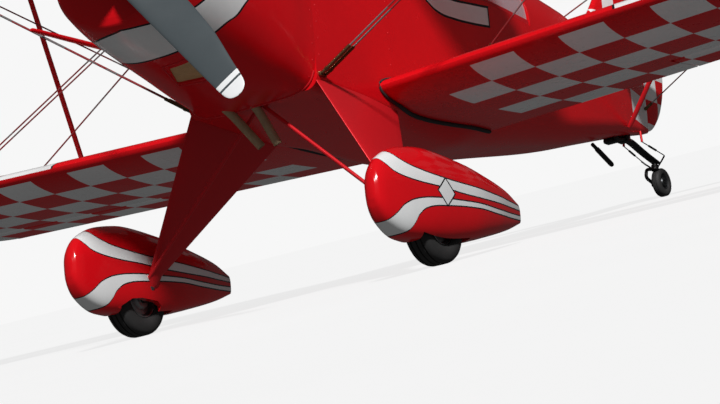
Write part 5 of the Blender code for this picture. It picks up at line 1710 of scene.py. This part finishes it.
def swell(obj):
    """Stuff a pad: remesh it, let cloth pressure fill it, cap the movement and smooth it."""
    remesh = obj.modifiers.new("remesh", "REMESH")
    remesh.mode = "VOXEL"
    remesh.voxel_size = PAD_VOXEL
    bake(obj)
    before = [v.co.copy() for v in obj.data.vertices]
    cloth = obj.modifiers.new("stuffing", "CLOTH")
    cloth.settings.use_pressure = True
    cloth.settings.uniform_pressure_force = PAD_PRESSURE
    cloth.settings.effector_weights.gravity = 0.0
    for number in range(1, PAD_FRAMES + 1):
        bpy.context.scene.frame_set(number)
    graph = bpy.context.evaluated_depsgraph_get()
    after = [v.co.copy() for v in obj.evaluated_get(graph).data.vertices]
    obj.modifiers.clear()
    bpy.context.scene.frame_set(1)
    for vertex, old, new in zip(obj.data.vertices, before, after):
        step = new - old
        vertex.co = old + step * min(1.0, PAD_SWELL / max(step.length, 1e-6))
    finer = obj.modifiers.new("finer", "SUBSURF")
    finer.levels = 1
    finer.render_levels = 1
    return bake(obj)


def strap(name, path, width, across, thickness=0.0028):
    """Flat webbing along a path, with rounded edges."""
    rings = []
    points = [Vector(p) for p in smooth_path(path, 0.4, 0.4, 6)]
    across = Vector(across).normalized()
    for i, point in enumerate(points):
        normal = direction_at(points, i).cross(across).normalized()
        ring = []
        for a in turns(16, 0.5):
            flat = math.copysign(abs(math.cos(a)) ** 0.3, math.cos(a))
            ring.append(point + across * width / 2 * flat
                        + normal * thickness / 2 * math.sin(a))
        rings.append(ring)
    return model(name, skin(rings), "airframe", "webbing", angle=60)


def dial(x, z):
    """Instrument: a bezel and a glass-fronted face set back in it."""
    rings = []
    for out, radius in ((0.0, 0.98), (0.007, 1.0), (0.010, 0.97), (0.010, 0.90), (0.004, 0.86)):
        rings.append([(x + DIAL_RADIUS * radius * math.cos(a), PANEL_FACE_Y + out,
                       z + DIAL_RADIUS * radius * math.sin(a))
                      for a in turns(48)])
    return skin(rings)


def build_cockpit():
    """Seat pads, harness, instruments and stick grip."""
    seat_low = mesh_object("seat_cushion", pad_shape((0, 1.475, -0.262), (0, 1.845, -0.222),
                                                     (0, -0.10, 0.99)))
    seat_back = mesh_object("back_cushion", pad_shape((0, 1.868, -0.175), (0, 1.918, 0.305),
                                                      (0, -0.99, 0.10)))
    for piece in (seat_low, seat_back):
        swell(piece)
        settle(piece, "airframe", "pad_leather", "seat", "seat", angle=180)
    tray = [[(x, y + dy, z + dz) for x, dy, dz in
             ((-0.212, 0.0, 0.0), (0.212, 0.0, 0.0), (0.212, 0.004, -0.004),
              (-0.212, 0.004, -0.004))] for y, z in SEAT_TRAY]
    model("seat_pan", skin(tray), "airframe", "dark_alloy", angle=30)
    for label, side in SIDES:
        for name, path, across in (("shoulder_strap", SHOULDER_STRAP, (1, 0, 0)),
                                   ("lap_strap", LAP_STRAP, (0, 0.85, 0.5))):
            strap(f"{name}_{label}", [(side * x, y, z) for x, y, z in path], STRAP_WIDTH, across)
    buckle = bar([(0, 1.692, -0.190), (0, 1.690, -0.181), (0, 1.689, -0.176)],
                 [0.030, 0.030, 0.026], sides=32)
    model("harness_buckle", buckle, "airframe", "steel", angle=40)
    bezels = [dial(k * DIAL_PITCH, z) for z in DIAL_ROWS for k in (-1.5, -0.5, 0.5, 1.5)]
    model("dial_bezels", joined(*bezels), "airframe", "dial_face", angle=40)
    grip = bar([(0, STICK_Y + back, z) for back, z, _ in GRIP_RINGS],
               [row[2] for row in GRIP_RINGS], sides=32)
    model("stick_grip", grip, "airframe", "rubber", angle=50)


def fastener_tree():
    """Node group that sets one domed screw head on each point, facing outward."""
    tree = bpy.data.node_groups.new("fastener_rows", "GeometryNodeTree")
    for name, kind, value in (("Geometry", "Geometry", None), ("Radius", "Float", 0.0042),
                              ("Height", "Float", 0.0018), ("Seed", "Int", 7),
                              ("Finish", "Material", None)):
        socket = tree.interface.new_socket(name, in_out="INPUT", socket_type=f"NodeSocket{kind}")
        if value is not None:
            socket.default_value = value
    tree.interface.new_socket("Geometry", in_out="OUTPUT", socket_type="NodeSocketGeometry")
    made = {}
    for label, kind in (("start", "NodeGroupInput"), ("head", "GeometryNodeMeshCone"),
                        ("facing", "GeometryNodeInputNamedAttribute"),
                        ("aim", "FunctionNodeAlignRotationToVector"),
                        ("turn", "FunctionNodeRandomValue"),
                        ("spin", "FunctionNodeAxisAngleToRotation"),
                        ("both", "FunctionNodeRotateRotation"),
                        ("narrow", "ShaderNodeMath"), ("place", "GeometryNodeInstanceOnPoints"),
                        ("real", "GeometryNodeRealizeInstances"),
                        ("coat", "GeometryNodeSetMaterial"), ("end", "NodeGroupOutput")):
        made[label] = tree.nodes.new(kind)
    made["head"].inputs["Vertices"].default_value = 12
    made["facing"].data_type = "FLOAT_VECTOR"
    made["facing"].inputs["Name"].default_value = "facing"
    made["aim"].axis = "Z"
    made["both"].rotation_space = "LOCAL"
    made["spin"].inputs["Axis"].default_value = (0.0, 0.0, 1.0)
    made["narrow"].operation = "MULTIPLY"
    made["narrow"].inputs[1].default_value = 0.72
    for a, out, b, into in (("start", "Radius", "head", "Radius Bottom"),
                            ("start", "Radius", "narrow", 0), ("narrow", 0, "head", "Radius Top"),
                            ("start", "Height", "head", "Depth"), ("start", "Seed", "turn", "Seed"),
                            ("facing", "Attribute", "aim", "Vector"), ("turn", 1, "spin", "Angle"),
                            ("aim", "Rotation", "both", "Rotation"),
                            ("spin", "Rotation", "both", "Rotate By"),
                            ("start", "Geometry", "place", "Points"),
                            ("head", "Mesh", "place", "Instance"),
                            ("both", "Rotation", "place", "Rotation"),
                            ("place", "Instances", "real", "Geometry"),
                            ("real", "Geometry", "coat", "Geometry"),
                            ("start", "Finish", "coat", "Material"),
                            ("coat", "Geometry", "end", "Geometry")):
        tree.links.new(made[a].outputs[out], made[b].inputs[into])
    return tree


def fasten(name, rows, body, finish_name, radius):
    """One piece of screw heads from level-frame pairs of point and facing."""
    obj = mesh_object(name, ([p for p, _ in rows], []), recalculate=False)
    facing = obj.data.attributes.new("facing", "FLOAT_VECTOR", "POINT")
    turn = LEVEL.to_3x3()
    facing.data.foreach_set("vector", [c for _, n in rows for c in turn @ Vector(n).normalized()])
    modifier = obj.modifiers.new("rows", "NODES")
    modifier.node_group = bpy.data.node_groups.get("fastener_rows") or fastener_tree()
    names = {item.name: item.identifier for item in modifier.node_group.interface.items_tree
             if item.in_out == "INPUT"}
    modifier[names["Radius"]] = radius
    modifier[names["Height"]] = radius * SCREW_RISE
    modifier[names["Seed"]] = 7
    modifier[names["Finish"]] = finish(finish_name)
    bake(obj)
    return settle(obj, body, finish_name, angle=40)


def ring_row(ring, pitch):
    """Points and outward directions along a closed ring, a pitch apart."""
    points = [Vector(p) for p in ring]
    middle = sum(points, Vector()) / len(points)
    rows = []
    left = pitch / 2
    for a, b in zip(points, points[1:] + points[:1]):
        along = b - a
        while left < along.length:
            spot = a + along.normalized() * left
            out = Vector((along.z, 0, -along.x)).normalized()
            if out.dot(spot - middle) < 0:
                out = -out
            rows.append((spot, out))
            left += pitch
        left -= along.length
    return rows


def build_fasteners():
    """Screw rows on the cowl's rear edge and the fuselage's front panels, and rim bolts."""
    settings = bpy.context.scene.biplane_sizes
    pitch = settings.screw_pitch
    rows = {"cowl_screws": ring_row(cowl_ring(*row_at(COWL_STATIONS, -0.022)), pitch),
            "fuselage_screws": [row for y in (0.030, 0.600)
                                for row in ring_row(fuselage_ring(y), pitch)]}
    for name, spots in rows.items():
        fasten(name, spots, "airframe", "red_paint", settings.screw_radius)
    for label, side in SIDES:
        bolts = []
        for way in (-1, 1):
            for a in turns(6):
                bolts.append(((side * AXLE_X + way * BOLT_FACE_X,
                               AXLE_Y + BOLT_CIRCLE * math.cos(a),
                               AXLE_Z + BOLT_CIRCLE * math.sin(a)), (way, 0, 0)))
        fasten(f"rim_bolts_{label}", bolts, f"wheel_{label}", "steel", BOLT_RADIUS)


def dress_cad():
    """Materials for the CAD nodes that stay in view."""
    dress("engine_metal", "engine_block")
    dress("red_paint", "canopy_frame")
    dress("black_paint", "control_column")
    dress("panel_black", "instrument_panel")


def stage_floor(settings):
    bpy.ops.mesh.primitive_plane_add(size=1.0)
    floor = bpy.context.object
    floor.name = "studio_floor"
    floor.data.transform(Matrix.Scale(settings.floor_size, 4))
    sheet = Sheet("studio_floor")
    vector = sheet.node("ShaderNodeTexCoord", output=3)
    tone = sheet.noise(vector, 0.6, 2.0)
    floor.data.materials.append(sheet.set(
        Base_Color=sheet.mix(tone, (0.10, 0.10, 0.10, 1.0), (0.12, 0.12, 0.12, 1.0)),
        Roughness=0.9, Specular_IOR_Level=0.1, Emission_Color=(1.0, 1.0, 1.0, 1.0),
        Emission_Strength=settings.floor_glow))
    floor.visible_diffuse = False
    floor.visible_glossy = False


def stage_world(settings):
    """Soft fill for matt surfaces, dim surroundings in glossy ones, and a white backdrop."""
    world = bpy.data.worlds.new("studio")
    world.use_nodes = True
    bpy.context.scene.world = world
    nodes = world.node_tree.nodes
    links = world.node_tree.links
    white = (1.0, 1.0, 1.0, 1.0)
    fill = nodes["Background"]
    fill.inputs["Color"].default_value = white
    fill.inputs["Strength"].default_value = settings.sky_strength
    backdrop = nodes.new("ShaderNodeBackground")
    backdrop.inputs["Color"].default_value = white
    backdrop.inputs["Strength"].default_value = settings.backdrop
    mirrored_sky = nodes.new("ShaderNodeBackground")
    mirrored_sky.inputs["Strength"].default_value = settings.mirrored_sky
    seen = nodes.new("ShaderNodeLightPath")
    first = fill
    for ray, second in (("Is Glossy Ray", mirrored_sky), ("Is Camera Ray", backdrop)):
        mixed = nodes.new("ShaderNodeMixShader")
        links.new(seen.outputs[ray], mixed.inputs[0])
        links.new(first.outputs[0], mixed.inputs[1])
        links.new(second.outputs[0], mixed.inputs[2])
        first = mixed
    links.new(first.outputs[0], nodes["World Output"].inputs[0])


def stage_light(settings):
    toward = LEVEL.to_3x3() @ Vector(settings.light_from).normalized()
    lamp = bpy.data.lights.new("key", "SUN")
    lamp.energy = settings.key_strength
    lamp.angle = settings.key_softness
    key = bpy.data.objects.new("key", lamp)
    key.rotation_euler = toward.to_track_quat("Z", "Y").to_euler()
    bpy.context.scene.collection.objects.link(key)


def stage_camera(settings):
    data = bpy.data.cameras.new("photo_view")
    data.sensor_width = 36.0
    data.lens = settings.lens
    data.clip_end = 500.0
    camera = bpy.data.objects.new("photo_view", data)
    forward = Vector(CAMERA_FORWARD)
    up = Vector(CAMERA_UP)
    turn = Matrix((forward.cross(up), up, -forward)).transposed().to_4x4()
    camera.matrix_world = LEVEL @ Matrix.Translation(CAMERA_PLACE) @ turn
    bpy.context.scene.collection.objects.link(camera)
    bpy.context.scene.camera = camera


def build_stage():
    settings = bpy.context.scene.biplane_stage
    stage_floor(settings)
    stage_world(settings)
    bpy.context.scene.view_settings.view_transform = "Standard"
    stage_light(settings)
    stage_camera(settings)


# Settings

def paint_setting(label, use, default):
    return FloatVectorProperty(name=label, description=use, subtype="COLOR", size=3, min=0.0,
                               max=1.0, default=default)


class BiplaneColours(bpy.types.PropertyGroup):
    red: paint_setting("Red paint", "Main body colour", (0.66, 0.0045, 0.009))
    white: paint_setting("White paint", "Bands and checkers", (0.78, 0.79, 0.79))
    black: paint_setting("Black paint", "Outlines of the bands", (0.012, 0.012, 0.014))
    blade_grey: paint_setting("Blade grey", "Propeller blades", (0.060, 0.072, 0.078))


class BiplaneSizes(bpy.types.PropertyGroup):
    screw_pitch: FloatProperty(name="Screw pitch", description="Distance between screws in a row",
                               subtype="DISTANCE", unit="LENGTH", min=0.02, max=0.5,
                               default=0.075)
    screw_radius: FloatProperty(name="Screw radius", description="Radius of a panel screw's head",
                                subtype="DISTANCE", unit="LENGTH", min=0.001, max=0.01,
                                default=0.0032)


class BiplaneStage(bpy.types.PropertyGroup):
    floor_size: FloatProperty(name="Floor", description="Side of the studio floor",
                              subtype="DISTANCE", default=400.0)
    lens: FloatProperty(name="Lens", description="Focal length of the photo's view, in mm",
                        default=143.69)
    sky_strength: FloatProperty(name="Fill", description="Strength of the soft fill light",
                                default=0.14)
    mirrored_sky: FloatProperty(
        name="Reflected sky", description="Brightness of the surroundings in glossy surfaces",
        min=0.0, max=2.0, default=0.05)
    backdrop: FloatProperty(name="Backdrop", description="Brightness of the white backdrop",
                            default=0.93)
    floor_glow: FloatProperty(name="Floor glow", description="How far the floor is lit from below",
                              default=0.80)
    key_strength: FloatProperty(name="Key light", description="Strength of the main light",
                                default=3.5)
    key_softness: FloatProperty(
        name="Key softness", description="How wide the main light looks from the aircraft",
        subtype="ANGLE", unit="ROTATION", min=0.0, max=math.pi, default=math.radians(6))
    light_from: FloatVectorProperty(name="Light from", description="Direction to the main light",
                                    size=3, default=(0.50, -0.74, 0.57))


# Operators

def operator(name, label, docstring, work):
    """An operator class that runs one building function."""
    def execute(self, context):
        work()
        return {"FINISHED"}

    return type(f"BIPLANE_OT_{name}", (bpy.types.Operator,),
                {"bl_idname": f"biplane.{name}", "bl_label": label, "__doc__": docstring,
                 "execute": execute})


OPERATORS = tuple(operator(*row) for row in (
    ("fuselage", "Fuselage", "Hollow red fuselage with its bands", build_fuselage),
    ("cowl", "Engine cowl", "Rounded cowl with intakes and outlets", build_cowl),
    ("lower_wings", "Lower wings", "Both checkered lower wings", build_lower_wings),
    ("upper_wing", "Upper wing", "One-piece swept upper wing", build_upper_wing),
    ("wheel_pants", "Wheel pants", "Both wheel pants", build_wheel_pants),
    ("wheels", "Main wheels", "Tyres and rims", build_wheels),
    ("gear_legs", "Gear legs", "Faired gear legs", build_gear_legs),
    ("exhausts", "Exhausts", "Both exhaust pipes", build_exhausts),
    ("propeller", "Propeller", "Blades and spinner", build_propeller),
    ("tail", "Tail", "Fin, rudder, tailplane and elevator", build_tail),
    ("glazing", "Glazing", "Canopy and windscreen", build_glazing),
    ("ailerons", "Ailerons", "All four ailerons with their horns", build_ailerons),
    ("root_seals", "Root seals", "Rubber strips round the lower wing roots", build_root_seals),
    ("struts", "Struts and wires", "Struts, wires and their ends", build_struts),
    ("tail_fittings", "Tail fittings", "Tail spring, wheel, struts and wires",
     build_tail_fittings),
    ("cockpit", "Cockpit", "Seat pads, harness, dials and stick grip", build_cockpit),
    ("fasteners", "Fasteners", "Rows of panel screws and rim bolts", build_fasteners),
    ("cad_finishes", "CAD finishes", "Materials of the CAD nodes that show", dress_cad),
    ("stage", "Stage", "Floor, light and the photo's camera", build_stage),
))


class BIPLANE_PT_panel(bpy.types.Panel):
    """Lists the building steps."""
    bl_label = "Biplane"
    bl_idname = "BIPLANE_PT_panel"
    bl_space_type = "VIEW_3D"
    bl_region_type = "UI"
    bl_category = "Biplane"

    def draw(self, context):
        scene = context.scene
        for group in (scene.biplane_colours, scene.biplane_sizes, scene.biplane_stage):
            for key in group.__annotations__:
                self.layout.prop(group, key)
        for made in OPERATORS:
            self.layout.operator(made.bl_idname)


CLASSES = (BiplaneColours, BiplaneSizes, BiplaneStage, *OPERATORS, BIPLANE_PT_panel)


def register():
    for made in CLASSES:
        bpy.utils.register_class(made)
    bpy.types.Scene.biplane_colours = PointerProperty(type=BiplaneColours)
    bpy.types.Scene.biplane_sizes = PointerProperty(type=BiplaneSizes)
    bpy.types.Scene.biplane_stage = PointerProperty(type=BiplaneStage)


def unregister():
    del bpy.types.Scene.biplane_stage
    del bpy.types.Scene.biplane_sizes
    del bpy.types.Scene.biplane_colours
    for made in reversed(CLASSES):
        bpy.utils.unregister_class(made)


def main():
    register()
    for made in OPERATORS:
        getattr(bpy.ops.biplane, made.bl_idname.split(".")[1])()


if __name__ == "__main__":
    main()
